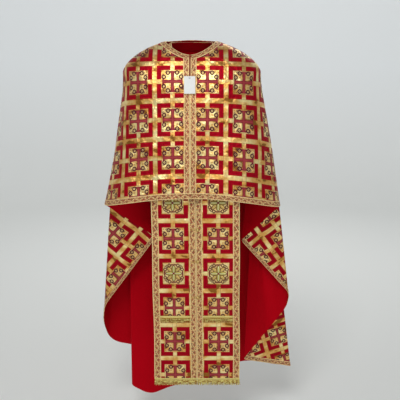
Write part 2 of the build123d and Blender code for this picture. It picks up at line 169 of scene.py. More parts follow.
# ---- Brocade: distances from the middle of a repeat, as shares of it ----
OUTER_LINE, INNER_LINE, BAR_LINE = (0.428, 0.442), (0.300, 0.314), (0.052, 0.064)
ANGLE_BAND, ANGLE_SEAM, ANGLE_GAP = (0.310, 0.435), (0.366, 0.378), 0.058
TIP_REACH, TIP_HALF_WIDTH = (0.232, 0.282), 0.088
TILE_FAR, TILE_NEAR, TILE_HALF_WIDTH = 0.135, 0.122, 0.052
# Rings: their middle's larger and smaller distance, and their inner and outer radius.
CORNER_DOT = (0.272, 0.262, 0.0, 0.018)
CROSS_SCROLL = (0.236, 0.125, 0.027, 0.062)
CROSS_HOOK = (0.262, 0.190, 0.012, 0.026)

# ---- Embroidered cross: each petal's middle, half length and half width as shares of its size ----
EMBROIDERY_SIZE = 80.0
PETAL = (0.20, 0.165, 0.075)
SLANT_PETAL = (0.24, 0.165, 0.066)
SCROLL = (0.405, 0.205, 0.085)  # its middle's larger and smaller distance, and its radius

# ---- The back's cross of galloon ----
CROSS_Z, CROSS_ARM, CROSS_HALF_WIDTH, CROSS_FOOT = -330.0, 95.0, 22.0, 123.5
BACK_CROSS = (67.5, 140.0)  # a cross of the pattern, as FRONT_CROSS
BACK_WINDOW = 20  # columns on each side of the back's middle that the galloon cross lies in

# ---- Dents of the front: place across and down, half width, half height, distance outward ----
FRONT_DENTS = (
    (-150, 470, 46, 30, -5.0),
    (-95, 520, 34, 40, 3.5),
    (112, 455, 40, 26, -4.5),
    (140, 330, 30, 42, -3.0),
    (-70, 330, 40, 28, 2.6),
    (60, 180, 44, 30, -2.2),
    (230, 250, 36, 60, 3.0),
    (-235, 230, 30, 60, 3.0),
    (205, 500, 40, 60, 4.0),
    (-215, 390, 34, 70, -3.4),
)

# ---- Bends, in metres: the two bodies that carry the cloth, and where it goes from one to the other ----
FRONT_BEND = ("yoke", "front", (0, 0, -0.114), (0, -0.060, -0.117))
BACK_BEND = ("yoke", "back", (0, 0.036, -0.1122), (0, 0.180, -0.105))
STOLE_BEND = ("yoke", "stole_end", (0, -0.131, -0.560), (0, -0.131, -0.640))

# ---- Colours ----
# The gold ground's painted sheen runs from GOLD_DEEP (painted shade) through GOLD_MID and GOLD_BRIGHT to
# GOLD_PALE (painted highlights); these colours also draw the pattern.
GOLD_PALE = (1.0, 0.82, 0.38)
GOLD_BRIGHT = (0.97, 0.61, 0.21)
GOLD_MID = (0.70, 0.34, 0.072)
GOLD_BRONZE = (0.62, 0.27, 0.05)
GOLD_DEEP = (0.20, 0.065, 0.008)
CRIMSON = (0.43, 0.001, 0.012)
CRIMSON_DEEP = (0.18, 0.001, 0.005)
RUSSET = (0.30, 0.020, 0.028)
PLUM = (0.075, 0.004, 0.018)
VEIN = (0.52, 0.11, 0.09)
CROSS_THREAD = (0.45, 0.10, 0.12)
CROSS_TIP = (0.22, 0.018, 0.030)
SATIN = (0.47, 0.0005, 0.007)
SATIN_DEEP = (0.36, 0.0004, 0.004)
SATIN_BRIGHT = (0.72, 0.001, 0.014)
SATIN_SHEEN = (0.9, 0.02, 0.05)
RED_FLECK = (0.42, 0.035, 0.022)
DARK_FLECK = (0.095, 0.035, 0.015)
FLOWER_PETAL = (0.16, 0.040, 0.030)
FLOWER_HEART = (0.50, 0.020, 0.025)
BRAID_SHADE = (0.25, 0.12, 0.04)
FRINGE_DARK, FRINGE_BRIGHT = (0.42, 0.20, 0.022), (1.0, 0.92, 0.34)
FRINGE_SHADE = (0.20, 0.11, 0.012)
PETAL_DARK, PETAL_LIGHT = (0.42, 0.36, 0.045), (0.80, 0.70, 0.20)
PETAL_VEIN = (0.80, 0.78, 0.50)
PETAL_EDGE = (0.12, 0.02, 0.02)
SLANT_GOLD, SLANT_EDGE = (0.74, 0.52, 0.16), (0.12, 0.012, 0.02)
EMBROIDERED_TIP, EMBROIDERED_BOSS = (0.17, 0.012, 0.022), (0.22, 0.01, 0.02)
STITCH_SHADE = (0.10, 0.04, 0.01)
# Ground of a galloon from dark to bright, and its vine and edges.
GALLOON_TONES = ((0.48, 0.24, 0.080), (1.0, 0.66, 0.29), (1.0, 0.76, 0.38))
STOLE_TONES = ((0.50, 0.24, 0.075), (1.0, 0.66, 0.28), (1.0, 0.78, 0.38))
FLOOR_COLOUR, WALL_COLOUR = (0.82, 0.825, 0.80), (0.90, 0.92, 0.93)

# ---- Studio, in metres and watts ----
CAMERA_TARGET, CAMERA_DISTANCE, CAMERA_PITCH, CAMERA_LENS = (0.031, -0.150, -0.580), 2.7, 11.2, 64.8
STAGE_REACH, STAGE_BEND, STAGE_HEIGHT, STAGE_SIDES, FLOOR_Z = 6.5, 1.5, 4.4, 72, -1.66
SKY_COLOUR, SKY_STRENGTH = (0.80, 0.83, 0.85, 1), 0.40
# Each lamp's place, what it is aimed at, its size and its power.
LIGHTS = {
    "key": ((-0.6, -3.3, 2.3), (0, 0, -0.6), (1.4, 1.4), 94),
    "fill": ((0.6, -4.3, 0.2), (0, 0, -0.7), (2.0, 2.0), 16),
    "back wall": ((0.2, 2.0, 2.4), (0, 6.0, 0.4), (2.4, 1.2), 60),
    "rear": ((0.6, 3.4, 1.6), (0, 0, -0.6), (2.4, 1.6), 22),
}

rng = random.Random(7)


# ---------------------------------------------------------------- camera, light and floor
def aim(thing, target):
    thing.rotation_euler = (Vector(target) - thing.location).to_track_quat("-Z", "Y").to_euler()


def make_camera():
    """Straight in front and a little above, as the garment is seen on its stand."""
    data = bpy.data.cameras.new("camera")
    data.lens = CAMERA_LENS
    data.sensor_width = 36
    camera = bpy.data.objects.new("camera", data)
    bpy.context.collection.objects.link(camera)
    pitch = math.radians(CAMERA_PITCH)
    back = Vector((0, -math.cos(pitch), math.sin(pitch)))
    camera.location = Vector(CAMERA_TARGET) + CAMERA_DISTANCE * back
    aim(camera, CAMERA_TARGET)
    bpy.context.scene.camera = camera


def make_studio():
    for name, (place, target, size, power) in LIGHTS.items():
        data = bpy.data.lights.new(name, "AREA")
        data.shape = "RECTANGLE"
        data.size, data.size_y = size
        data.energy = power
        lamp = bpy.data.objects.new(name, data)
        bpy.context.collection.objects.link(lamp)
        lamp.location = place
        aim(lamp, target)
    world = bpy.data.worlds.new("studio")
    bpy.context.scene.world = world
    world.use_nodes = True
    background = world.node_tree.nodes["Background"]
    background.inputs["Color"].default_value = SKY_COLOUR
    background.inputs["Strength"].default_value = SKY_STRENGTH
    bpy.context.scene.view_settings.view_transform = "Standard"


def make_stage():
    """A plain pale floor that curves up into a low round wall, so that every view has it."""
    flat = STAGE_REACH - STAGE_BEND
    profile = [(0.01, 0.0), (2.0, 0.0), (flat, 0.0)]
    for i in range(1, 13):
        turn = math.pi / 2 * i / 12
        profile.append((flat + STAGE_BEND * math.sin(turn), STAGE_BEND * (1 - math.cos(turn))))
    profile.append((STAGE_REACH, STAGE_HEIGHT))
    verts = []
    for radius, rise in profile:
        for turn in turns(STAGE_SIDES):
            verts.append((radius * math.cos(turn), radius * math.sin(turn), FLOOR_Z + rise))
    mesh = bpy.data.meshes.new("floor")
    mesh.from_pydata(verts, [], ring_faces(len(profile), STAGE_SIDES)[:-1])
    mesh.shade_smooth()
    floor = bpy.data.objects.new("floor", mesh)
    bpy.context.collection.objects.link(floor)
    g = Graph("floor", 0.9, Specular_IOR_Level=0.1)
    place = g.node("ShaderNodeTexCoord", "Object", {})
    height = g.node("ShaderNodeSeparateXYZ", "Z", {0: place})
    limits = {"Value": height, "From Min": FLOOR_Z, "From Max": FLOOR_Z + STAGE_BEND}
    ramp = g.node("ShaderNodeMapRange", "Result", limits)
    mesh.materials.append(g.done(Base_Color=g.mix(ramp, FLOOR_COLOUR, WALL_COLOUR)))


# ---------------------------------------------------------------- the cloth's shape
def mixed(values, bearing):
    """A front, side or back value, eased round the body by its bearing in degrees."""
    cosine = math.cos(math.radians(bearing))
    end = values[0] if cosine > 0 else values[2]
    return end * cosine**2 + values[1] * (1 - cosine**2)


def oval(bearing, width, front, back, roundness):
    """How far an oval's edge is from its middle, at a bearing."""
    sine = abs(math.sin(math.radians(bearing)))
    cosine = math.cos(math.radians(bearing))
    depth = front if cosine > 0 else back
    return ((sine / width) ** roundness + (abs(cosine) / depth) ** roundness) ** (-1 / roundness)


def bust_radius(bearing):
    return oval(bearing, BUST_WIDTH, BUST_FRONT, BUST_BACK, BUST_ROUNDNESS)


def shoulder_line(bearing, downs):
    """Points of the yoke at a bearing: down is 0 at the neck and 1 where the cloth starts to hang."""
    start = oval(bearing, NECK_WIDTH, NECK_FRONT, NECK_BACK, NECK_ROUNDNESS)
    end = bust_radius(bearing)
    top = mixed(NECK_HEIGHTS, bearing)
    bottom = mixed(BUST_HEIGHTS, bearing)
    reach = SHOULDER_REACH * (end - start)
    radii = (start, start + reach, end, end)
    lead = bottom + mixed(BUST_LEADS, bearing)
    heights = (top, top - reach * mixed(SHOULDER_SLOPES, bearing), lead, bottom)
    rest = 1 - downs
    weights = (rest**3, 3 * downs * rest**2, 3 * downs**2 * rest, downs**3)
    radius = sum(w * r for w, r in zip(weights, radii))
    height = sum(w * h for w, h in zip(weights, heights))
    angle = math.radians(bearing)
    return np.stack([radius * math.sin(angle), -radius * math.cos(angle), height], axis=1)


def hanging_line(bearing, hem, flare, downs):
    """Points down the hanging cloth: it leaves the bust plumb and then runs straight to the hem."""
    top = shoulder_line(bearing, np.array([1.0]))[0]
    out = downs**flare * (1 - (1 - downs) ** 6)
    share = np.stack([out, out, downs], axis=1)
    return top + (np.array(hem) - top) * share


def front_station(share, side):
    """(bearing, hem point, flare) of a line that the front falls along, share 0 at the centre to 1."""
    x, y, z = FRONT_CORNER[side]
    bow = (1 - share**2.8) ** 0.55
    drop = (z + FRONT_LENGTH) * share**2 - FRONT_LENGTH
    hem = (x * share, y - (FRONT_DEPTH + y) * bow, drop)
    last = bust_radius(FRONT_ANGLE) * math.sin(math.radians(FRONT_ANGLE))
    wanted = x * share - (x - last) * share**4
    low, high = 0.0, FRONT_ANGLE
    for _ in range(40):
        middle = (low + high) / 2
        if bust_radius(middle) * math.sin(math.radians(middle)) < wanted:
            low = middle
        else:
            high = middle
    return low, hem, 1 + (FRONT_FLARE[side] - 1) * share


def pleat_stations(side):
    """The same for the pleated side and half of the back, and the index of each pleat's fold."""
    corners = PLEATS[side]
    points = [np.array(p[:3], float) for p in (FRONT_CORNER[side], *corners, CENTRE_BACK_HEM)]
    hem, folds = [], []
    start = points[0]
    for before, corner, after, spec in zip(points, points[1:], points[2:], corners):
        arriving, leaving = corner - before, after - corner
        lengths = np.linalg.norm(arriving), np.linalg.norm(leaving)
        cut = min(spec[3], 0.45 * lengths[0], 0.45 * lengths[1])
        ease_in = corner - arriving / lengths[0] * cut
        ease_out = corner + leaving / lengths[1] * cut
        count = max(2, int(np.linalg.norm(ease_in - start) / HEM_STEP))
        hem += [start + (ease_in - start) * (i / count) for i in range(count)]
        folds.append(len(hem) + FOLD_STEPS // 2)
        for i in range(FOLD_STEPS):
            t = i / FOLD_STEPS
            hem.append(ease_in * (1 - t) ** 2 + corner * (2 * t * (1 - t)) + ease_out * t**2)
        start = ease_out
    count = max(2, int(np.linalg.norm(points[-1] - start) / HEM_STEP))
    hem += [start + (points[-1] - start) * (i / count) for i in range(count + 1)]
    hem = np.array(hem)
    along = np.concatenate([[0], np.cumsum(np.linalg.norm(np.diff(hem, axis=0), axis=1))])
    marks = [0.0, *along[folds], along[-1]]
    flares = [FRONT_FLARE[side], *(corner[4] for corner in corners), 1.0]
    bearing_marks = [0.0, along[folds[0]], along[folds[SIDE_CORNERS - 1]], along[-1]]
    bearings = np.interp(along, bearing_marks, [FRONT_ANGLE, 90.0, BACK_ANGLE, 180.0])
    return list(zip(bearings, hem, np.interp(along, marks, flares))), folds


def cloth_lines(stations):
    """The cloth's points: rows from the neck to the hem, columns along the stations."""
    yoke = np.arange(YOKE_ROWS) / YOKE_ROWS
    hang = np.arange(HANG_ROWS + 1) / HANG_ROWS
    columns = []
    for bearing, hem, flare in stations:
        upper = shoulder_line(bearing, yoke)
        columns.append(np.concatenate([upper, hanging_line(bearing, hem, flare, hang)]))
    return np.stack(columns, axis=1)


def lengths_along(points, axis):
    """Running length of a grid of points along its rows (1) or columns (0)."""
    steps = np.linalg.norm(np.diff(points, axis=axis), axis=2)
    start = np.zeros_like(np.take(steps, [0], axis=axis))
    return np.concatenate([start, np.cumsum(steps, axis=axis)], axis=axis)


def yoke_flat(points, across, down):
    """Fill the flat places above the bust in: across follows x, and down follows the slope."""
    ring = YOKE_ROWS
    share = (np.arange(ring) / ring)[:, None]
    extra = across[ring] - np.abs(points[ring, :, 0])
    across[:ring] = np.abs(points[:ring, :, 0]) + extra * share**2
    climb = lengths_along(points[: ring + 1, :, 1:], 0)
    down[:ring] = down[ring] - (climb[-1] - climb[:-1])


def front_flat(points):
    """Flat places of the front: distance from the centre line, and down, with the hem along a thread."""
    level = points.copy()
    level[:, :, 2] = 0
    across = lengths_along(level, 1)
    corner = np.minimum(np.arange(points.shape[1]) / FRONT_COLUMNS, 1.0)
    hem_drop = -points[-1, FRONT_COLUMNS, 2] - FRONT_LENGTH
    droop = hem_drop * (corner**2)[None, :] * np.clip(-points[:, :, 2] / FRONT_LENGTH, 0, 1.2) ** 0.7
    down = -points[:, :, 2] - droop
    yoke_flat(points, across, down)
    return np.stack([across, down], axis=2)


def third_corner(a, b, to_a, to_b):
    """The point at those distances from a and b in the plane, to the left of a to b."""
    gap = b - a
    length = np.hypot(*gap)
    along = (to_a**2 - to_b**2 + length**2) / (2 * length)
    up = math.sqrt(max(to_a**2 - along**2, 0))
    return a + gap / length * along + np.array([-gap[1], gap[0]]) / length * up


def unrolled(points):
    """Flat places of half of the back, unrolled strip by strip from its centre line outward."""
    ring, hem = points[YOKE_ROWS], points[-1]
    top = np.array([0.0, -ring[0, 2]])
    foot = top + np.array([0.0, np.linalg.norm(hem[0] - ring[0])])
    tops, feet = [top], [foot]
    for j in range(1, len(ring)):
        slant, fall = np.linalg.norm(ring[j] - hem[j - 1]), np.linalg.norm(hem[j] - ring[j])
        top = third_corner(foot, top, slant, np.linalg.norm(ring[j] - ring[j - 1]))
        foot = third_corner(foot, top, np.linalg.norm(hem[j] - hem[j - 1]), fall)
        tops.append(top)
        feet.append(foot)
    tops, feet = np.array(tops), np.array(feet)
    falls = lengths_along(points[YOKE_ROWS:], 0)
    share = falls / falls[-1]
    flat = np.zeros((*points.shape[:2], 2))
    flat[YOKE_ROWS:] = tops[None] + (feet - tops)[None] * share[:, :, None]
    yoke_flat(points, flat[:, :, 0], flat[:, :, 1])
    return flat


def normals_of(points):
    """Unit outward directions of a grid whose rows run down and whose columns run to the viewer's right."""
    down = np.gradient(points, axis=0)
    across = np.gradient(points, axis=1)
    normal = np.cross(down, across)
    return normal / np.maximum(np.linalg.norm(normal, axis=2, keepdims=True), 1e-9)


def smooth_step(x, low, high):
    t = np.clip((x - low) / (high - low), 0, 1)
    return t * t * (3 - 2 * t)


def front_creases(points, flat, side):
    """Soft waves and dents of the front, in millimetres outward; none where it meets the side."""
    sign = -1 if side == "left" else 1
    x, down = sign * flat[:, :, 0], flat[:, :, 1]
    edge = 1 - smooth_step(np.arange(points.shape[1]) / FRONT_COLUMNS, 0.86, 1.0)[None, :]
    fall = smooth_step(down, 150, 560)
    waves = 3.4 * np.sin(x / 34 + 0.9 + down / 260) * fall
    waves = waves + 1.5 * np.sin(x / 19 - 1.2 + down / 150) * fall
    waves = waves + 1.1 * np.sin(x / 52 + down / 41) * smooth_step(down, 60, 200)
    for place_x, place_down, wide, tall, depth in FRONT_DENTS:
        offsets = ((x - place_x) / wide) ** 2 + ((down - place_down) / tall) ** 2
        waves = waves + depth * np.exp(-offsets)
    return waves * edge


def back_creases(points, folds):
    """Long soft folds of the back and the pleats, none at the pleats' own folds."""
    x, z = points[:, :, 0], points[:, :, 2]
    fall = smooth_step(-z, 200, 1150)
    middle = 1 - smooth_step(np.abs(x), 120, 330) * 0.60
    spread = 18 - 0.0105 * z
    waves = BACK_FOLD_DEPTH * np.sin(x / spread + 0.6) * fall * middle
    waves = waves + BACK_RIPPLE_DEPTH * np.sin(1.9 * x / spread + z / 310) * fall
    columns = np.arange(points.shape[1])
    away = np.min(np.abs(columns[:, None] - np.array(folds)[None, :]), axis=1)
    return waves * smooth_step(away, 4, 15)[None, :]


def make_surface(points, flat, creases):
    """A piece of cloth: its outer face, the outward directions and the flat places."""
    points = points + normals_of(points) * creases[:, :, None]
    return {"points": points, "normals": normals_of(points), "flat": flat}


def part_centre_front(points, side):
    """Shift the slit to its side of the middle, and open it above the seam."""
    sign = 1 if side == "right" else -1
    shift = SLIT_SHIFT * np.clip(1 - (points[:, :, 0] / BUST_WIDTH) ** 2, 0, None)
    points[:, :, 0] += shift
    gap = np.where(points[:, 0, 2] > -SLIT_END, SLIT_HALF_GAP, SEAM_HALF_GAP)
    gap = np.convolve(np.pad(gap, 1, mode="edge"), [0.25, 0.5, 0.25], mode="valid")
    points[:, 0, 0] = SLIT_SHIFT + sign * gap


def front_surface(side):
    """From the centre line round the side corner and back to the first inner fold."""
    stations = []
    for i in range(FRONT_COLUMNS + 1):
        stations.append(front_station(1 - (1 - i / FRONT_COLUMNS) ** 1.15, side))
    pleats, folds = pleat_stations(side)
    points = cloth_lines(stations + pleats[1 : folds[0] + 1])
    flat = front_flat(points)
    creases = front_creases(points, flat, side)
    if side == "left":
        points = points[:, ::-1].copy()
        points[:, :, 0] *= -1
        flat, creases = flat[:, ::-1], creases[:, ::-1]
        part_view = points[:, ::-1]
    else:
        part_view = points
    part_centre_front(part_view, side)
    return make_surface(points, flat, creases)


def turned_gore(flat, outer, inner):
    """Turn the flat places past a hidden leaf: the outer pleat of the left side hangs on another thread."""
    columns = np.arange(flat.shape[1])
    share = smooth_step(columns, inner, outer)[None, :, None]
    turn = math.radians(GORE_TURN)
    pivot = flat[YOKE_ROWS, outer]
    spin = np.array([[math.cos(turn), math.sin(turn)], [-math.sin(turn), math.cos(turn)]])
    moved = (flat - pivot) @ spin + pivot + np.array(GORE_SLIP)
    below = smooth_step(np.arange(flat.shape[0]), YOKE_ROWS - 1, YOKE_ROWS + 6)[:, None, None]
    return flat + (moved - flat) * share * below


def back_surface():
    """From the left first inner fold round the pleats and the back to the right one."""
    halves = {}
    for side in ("left", "right"):
        stations, folds = pleat_stations(side)
        points = cloth_lines(stations[folds[0] :][::-1])
        halves[side] = (points, unrolled(points), [len(stations) - 1 - fold for fold in folds])
    left, left_flat, left_folds = halves["left"]
    right, right_flat, right_folds = halves["right"]
    left_flat = turned_gore(left_flat, left_folds[4], left_folds[5])
    left[:, :, 0] *= -1
    left_flat = left_flat * np.array([-1, 1])
    middle = right.shape[1] - 1
    folds = [middle - fold for fold in right_folds] + [middle + fold for fold in left_folds]
    points = np.concatenate([right[:, ::-1], left[:, 1:]], axis=1)
    flat = np.concatenate([right_flat[:, ::-1], left_flat[:, 1:]], axis=1)
    return make_surface(points, flat, back_creases(points, folds))


# ---------------------------------------------------------------- meshes from surfaces
def sampled(surface, rows, columns):
    """Points, directions and flat places at fractional rows and columns."""
    height, width = surface["points"].shape[:2]
    rows = np.clip(rows, 0, height - 1)
    columns = np.clip(columns, 0, width - 1)
    i = np.minimum(rows.astype(int), height - 2)
    j = np.minimum(columns.astype(int), width - 2)
    a, b = (rows - i)[:, :, None], (columns - j)[:, :, None]
    found = {}
    for name, grid in surface.items():
        upper = grid[i, j] * (1 - b) + grid[i, j + 1] * b
        lower = grid[i + 1, j] * (1 - b) + grid[i + 1, j + 1] * b
        found[name] = upper * (1 - a) + lower * a
    length = np.linalg.norm(found["normals"], axis=2, keepdims=True)
    found["normals"] = found["normals"] / np.maximum(length, 1e-9)
    return found


def slab(name, surface, layer, material, lift=0.0):
    """A closed thin piece between two distances outward from a surface, with the flat places as UVs."""
    points, normals, flat = surface["points"], surface["normals"], surface["flat"]
    rows, columns = points.shape[:2]
    outer = points + normals * (layer[1] + lift + np.zeros((rows, columns)))[:, :, None]
    inner = points + normals * layer[0]
    verts = np.concatenate([outer.reshape(-1, 3), inner.reshape(-1, 3)]) * MM
    uvs = np.concatenate([flat.reshape(-1, 2)] * 2) * MM
    below = rows * columns
    index = np.arange(below).reshape(rows, columns)
    corners = index[:-1, :-1], index[1:, :-1], index[1:, 1:], index[:-1, 1:]
    top = np.stack(corners, axis=2).reshape(-1, 4)
    edge = [*index[0, ::-1], *index[1:, 0], *index[-1, 1:], *index[-2:0:-1, -1]]
    rim = [(b, a, a + below, b + below) for a, b in zip(edge, edge[1:] + edge[:1])]
    return make_piece(name, verts, np.concatenate([top, top[:, ::-1] + below, rim]), uvs, material)


def make_piece(name, verts, faces, uvs, material):
    mesh = bpy.data.meshes.new(name)
    mesh.from_pydata([tuple(v) for v in verts], [], [tuple(int(k) for k in f) for f in faces])
    if uvs is not None:
        layer = mesh.uv_layers.new(name="cloth")
        corner = np.zeros(len(mesh.loops), int)
        mesh.loops.foreach_get("vertex_index", corner)
        layer.data.foreach_set("uv", np.asarray(uvs)[corner].astype(np.float32).ravel())
    mesh.shade_smooth()
    mesh.set_sharp_from_angle(angle=math.radians(50))
    mesh.materials.append(material)
    piece = bpy.data.objects.new(name, mesh)
    bpy.context.collection.objects.link(piece)
    return piece


def band(name, surface, rows, columns, material, across_first):
    """A galloon on a surface: corded edges and a flat middle. UV is across (0 to 1) and along in metres."""
    found = sampled(surface, rows, columns)
    middle = np.take(found["points"], len(BAND_SHARES) // 2, axis=0 if across_first else 1)
    along = np.concatenate([[0], np.cumsum(np.linalg.norm(np.diff(middle, axis=0), axis=1))])
    order = (slice(None), None) if across_first else (None, slice(None))
    level = np.zeros(rows.shape)
    across, rise = BAND_SHARES[order] + level, BAND_RISES[order] + level
    found["flat"] = np.stack([across / MM, along[order[::-1]] + level], axis=2)
    return slab(name, found, (GALLOON_LIFT, GALLOON_LIFT), material, rise * GALLOON_THICKNESS)


def edge_band(name, surface, material, at_hem):
    """A galloon along the hem or round the neck of a surface."""
    running = lengths_along(surface["points"], 0)
    order = np.arange(len(running))
    rows = []
    for line in running.T:
        from_hem = line[-1] - GALLOON_WIDTH * (1 - BAND_SHARES)
        rows.append(np.interp(from_hem if at_hem else GALLOON_WIDTH * BAND_SHARES, line, order))
    rows = np.stack(rows, axis=1)
    columns = np.arange(rows.shape[1]) + np.zeros(rows.shape)
    return band(name, surface, rows, columns, material, True)


def centre_band(name, surface, material, side):
    """The galloon down one side of the centre front, between those of the neck and the hem."""
    running, shares = lengths_along(surface["points"], 1), BAND_SHARES
    lengths = lengths_along(surface["points"], 0)[:, 0 if side == "right" else -1]
    if side == "left":
        running, shares = running[:, -1:] - running, shares[::-1]
    found = []
    for line in running:
        order = np.argsort(line)
        found.append(np.interp(shares * GALLOON_WIDTH, line[order], order))
    found = np.stack(found)
    ends = (GALLOON_WIDTH - 1, lengths[-1] - GALLOON_WIDTH + 1)
    levels = np.linspace(*np.interp(ends, lengths, np.arange(len(lengths))), CENTRE_ROWS)
    low = levels.astype(int).clip(0, len(lengths) - 2)
    part = (levels - low)[:, None]
    columns = found[low] * (1 - part) + found[low + 1] * part
    rows = levels[:, None] + np.zeros(columns.shape)
    return band(name, surface, rows, columns, material, False)


# ---------------------------------------------------------------- stole


def curve_through(points, steps):
    """A smooth line through points, with that many steps between each pair."""
    points = np.array(points, float)
    padded = np.concatenate([[2 * points[0] - points[1]], points, [2 * points[-1] - points[-2]]])
    line = []
    for before, start, end, after in zip(padded, padded[1:], padded[2:], padded[3:]):
        for i in range(steps):
            t = i / steps
            line.append(
                start
                + 0.5 * t * (end - before)
                + t * t * (before - 2.5 * start + 2 * end - 0.5 * after)
                + t * t * t * (1.5 * (start - end) + 0.5 * (after - before))
            )
    return np.array(line + [points[-1]])


def stole_centre(z):
    """The stole hangs a little off the middle and leans."""
    share = np.clip(-z / 220, 0, 1)
    return (STOLE_CENTRE + STOLE_LEAN * z) * share**2 * (3 - 2 * share)


def stole_surface(side):
    """One half of the stole, from beside the neck to its lower end."""
    inner = curve_through(STOLE_INNER, 7)
    outer = curve_through(STOLE_OUTER, 7)
    heights = np.linspace(STOLE_INNER[-1][2], STOLE_END, 64)[1:]
    face = STOLE_Y - 1.4
    inner = np.concatenate([inner, [(0.5, face, z) for z in heights]])
    outer = np.concatenate([outer, [(STOLE_HALF_WIDTH, face, z) for z in heights]])
    share = np.linspace(0, 1, 19)[None, :, None]
    points = inner[:, None] * (1 - share) + outer[:, None] * share
    lengths = lengths_along(points, 0)
    bend = len(inner) - len(heights) - 1
    flat = np.zeros((*points.shape[:2], 2))
    flat[:, :, 0] = share[:, :, 0] * STOLE_HALF_WIDTH
    flat[:, :, 1] = lengths - lengths[bend] - STOLE_INNER[-1][2]
    hang = smooth_step(-points[:, :, 2], 600, 760)
    down, across = flat[:, :, 1], flat[:, :, 0]
    sign = -1 if side == "left" else 1
    creases = 1.3 * np.sin(down / 47 + sign * across / 60) + 0.9 * np.sin(down / 23 + 1.3 * sign)
    creases = (creases * np.sin(math.pi * np.clip(across / STOLE_HALF_WIDTH, 0, 1)) - 1.0) * hang
    edge = 1.1 * np.sin(down / 61 + sign) * (across / STOLE_HALF_WIDTH) ** 4 * hang
    points[:, :, 0] += edge
    points[:, :, 0] = sign * points[:, :, 0] + stole_centre(points[:, :, 2])
    if side == "left":
        points, flat, creases = points[:, ::-1].copy(), flat[:, ::-1], creases[:, ::-1]
    return make_surface(points, flat, creases)


def stole_band(name, surface, side, low, high, material):
    """A galloon down the stole between two distances from its centre line; narrower where the stole is."""
    widths = lengths_along(surface["points"], 1)[:, -1:]
    count = surface["points"].shape[1] - 1
    room = np.minimum(1.0, 0.30 * widths / (high - low))
    wanted = low + (high - low) * BAND_SHARES
    wanted = widths - (high - wanted) * room if low > 0 else wanted * room
    columns = wanted / widths * count
    if side == "left":
        columns = (count - columns)[:, ::-1]
    rows = np.arange(len(columns))[:, None] + np.zeros(columns.shape)
    return band(name, surface, rows, columns, material, False)


def patch(surface, side, centre, size, count):
    """A square part of the stole: sampled points and its own places, from -0.5 to 0.5 both ways."""
    steps = np.linspace(-0.5, 0.5, count)
    total = surface["points"].shape[1] - 1
    middle = surface["flat"][:, total // 2, 1]
    rows = np.interp(centre[1] + steps * size, middle, np.arange(len(middle)))
    columns = (centre[0] + steps * size) / STOLE_HALF_WIDTH * total
    if side == "left":
        columns = total - columns[::-1]
    columns, rows = np.meshgrid(columns, rows)
    return sampled(surface, rows, columns), *np.meshgrid(steps, steps)


def embroidered_cross(name, surface, side, centre, material):
    """A raised cross of satin stitch: four petals, four slanting ones, a boss and scrolls."""
    found, u, v = patch(surface, side, centre, EMBROIDERY_SIZE, 97)
    far, near = np.maximum(np.abs(u), np.abs(v)), np.minimum(np.abs(u), np.abs(v))
    slant_far, slant_near = (far + near) * math.sqrt(0.5), (far - near) * math.sqrt(0.5)

    def dome(along, aside, shape):
        middle, half_length, half_width = shape
        inside = 1 - ((along - middle) / half_length) ** 2 - (aside / half_width) ** 2
        return np.clip(inside, 0, 1) ** 0.5

    reach = np.hypot(far - SCROLL[0], near - SCROLL[1])
    ring = dome(reach, 0.0, (0.75 * SCROLL[2], 0.3 * SCROLL[2], 1.0))
    boss = dome(np.hypot(u, v), 0.0, (0.0, 0.055, 1.0))
    petals = (1.3 * dome(far, near, PETAL), 1.0 * dome(slant_far, slant_near, SLANT_PETAL))
    relief = np.maximum.reduce([*petals, 0.9 * ring, 1.5 * boss])
    edge = smooth_step(0.5 - far, 0.0, 0.012)
    found["flat"] = np.stack([u, v], axis=2) / MM
    return slab(name, found, (0.1, 0.35), material, (0.15 + relief) * edge)


def turns(sides):
    """The angles of a ring's vertices."""
    return [2 * math.pi * i / sides for i in range(sides)]


def ring_faces(rings, sides):
    """Faces round a stack of rings that turn clockwise seen along it, and over its two ends."""
    faces = [tuple(range(sides))]
    for k in range(1, rings):
        for i in range(sides):
            a, b = (k - 1) * sides + i, (k - 1) * sides + (i + 1) % sides
            faces.append((a, a + sides, b + sides, b))
    last = rings * sides - 1
    faces.append(tuple(range(last, last - sides, -1)))
    return faces


def tube(points, radius, sides):
    """Vertices and faces of a round strand down through points, closed at both ends."""
    verts = []
    for point, size in zip(points, radius):
        for turn in turns(sides):
            verts.append((point[0] + size * math.cos(turn), point[1] + size * math.sin(turn), point[2]))
    return verts, ring_faces(len(points), sides)


def depths(surface, side, across, z):
    """How far forward the stole's face is, at distances from its centre line and one height."""
    total = surface["points"].shape[1] - 1
    row = np.interp(-z, -surface["points"][:, total // 2, 2], np.arange(len(surface["points"])))
    columns = np.asarray(across) / STOLE_HALF_WIDTH * total
    if side == "left":
        columns = total - columns
    found = sampled(surface, np.full((1, len(columns)), row), columns[None, :])
    return found["points"][0, :, 1]


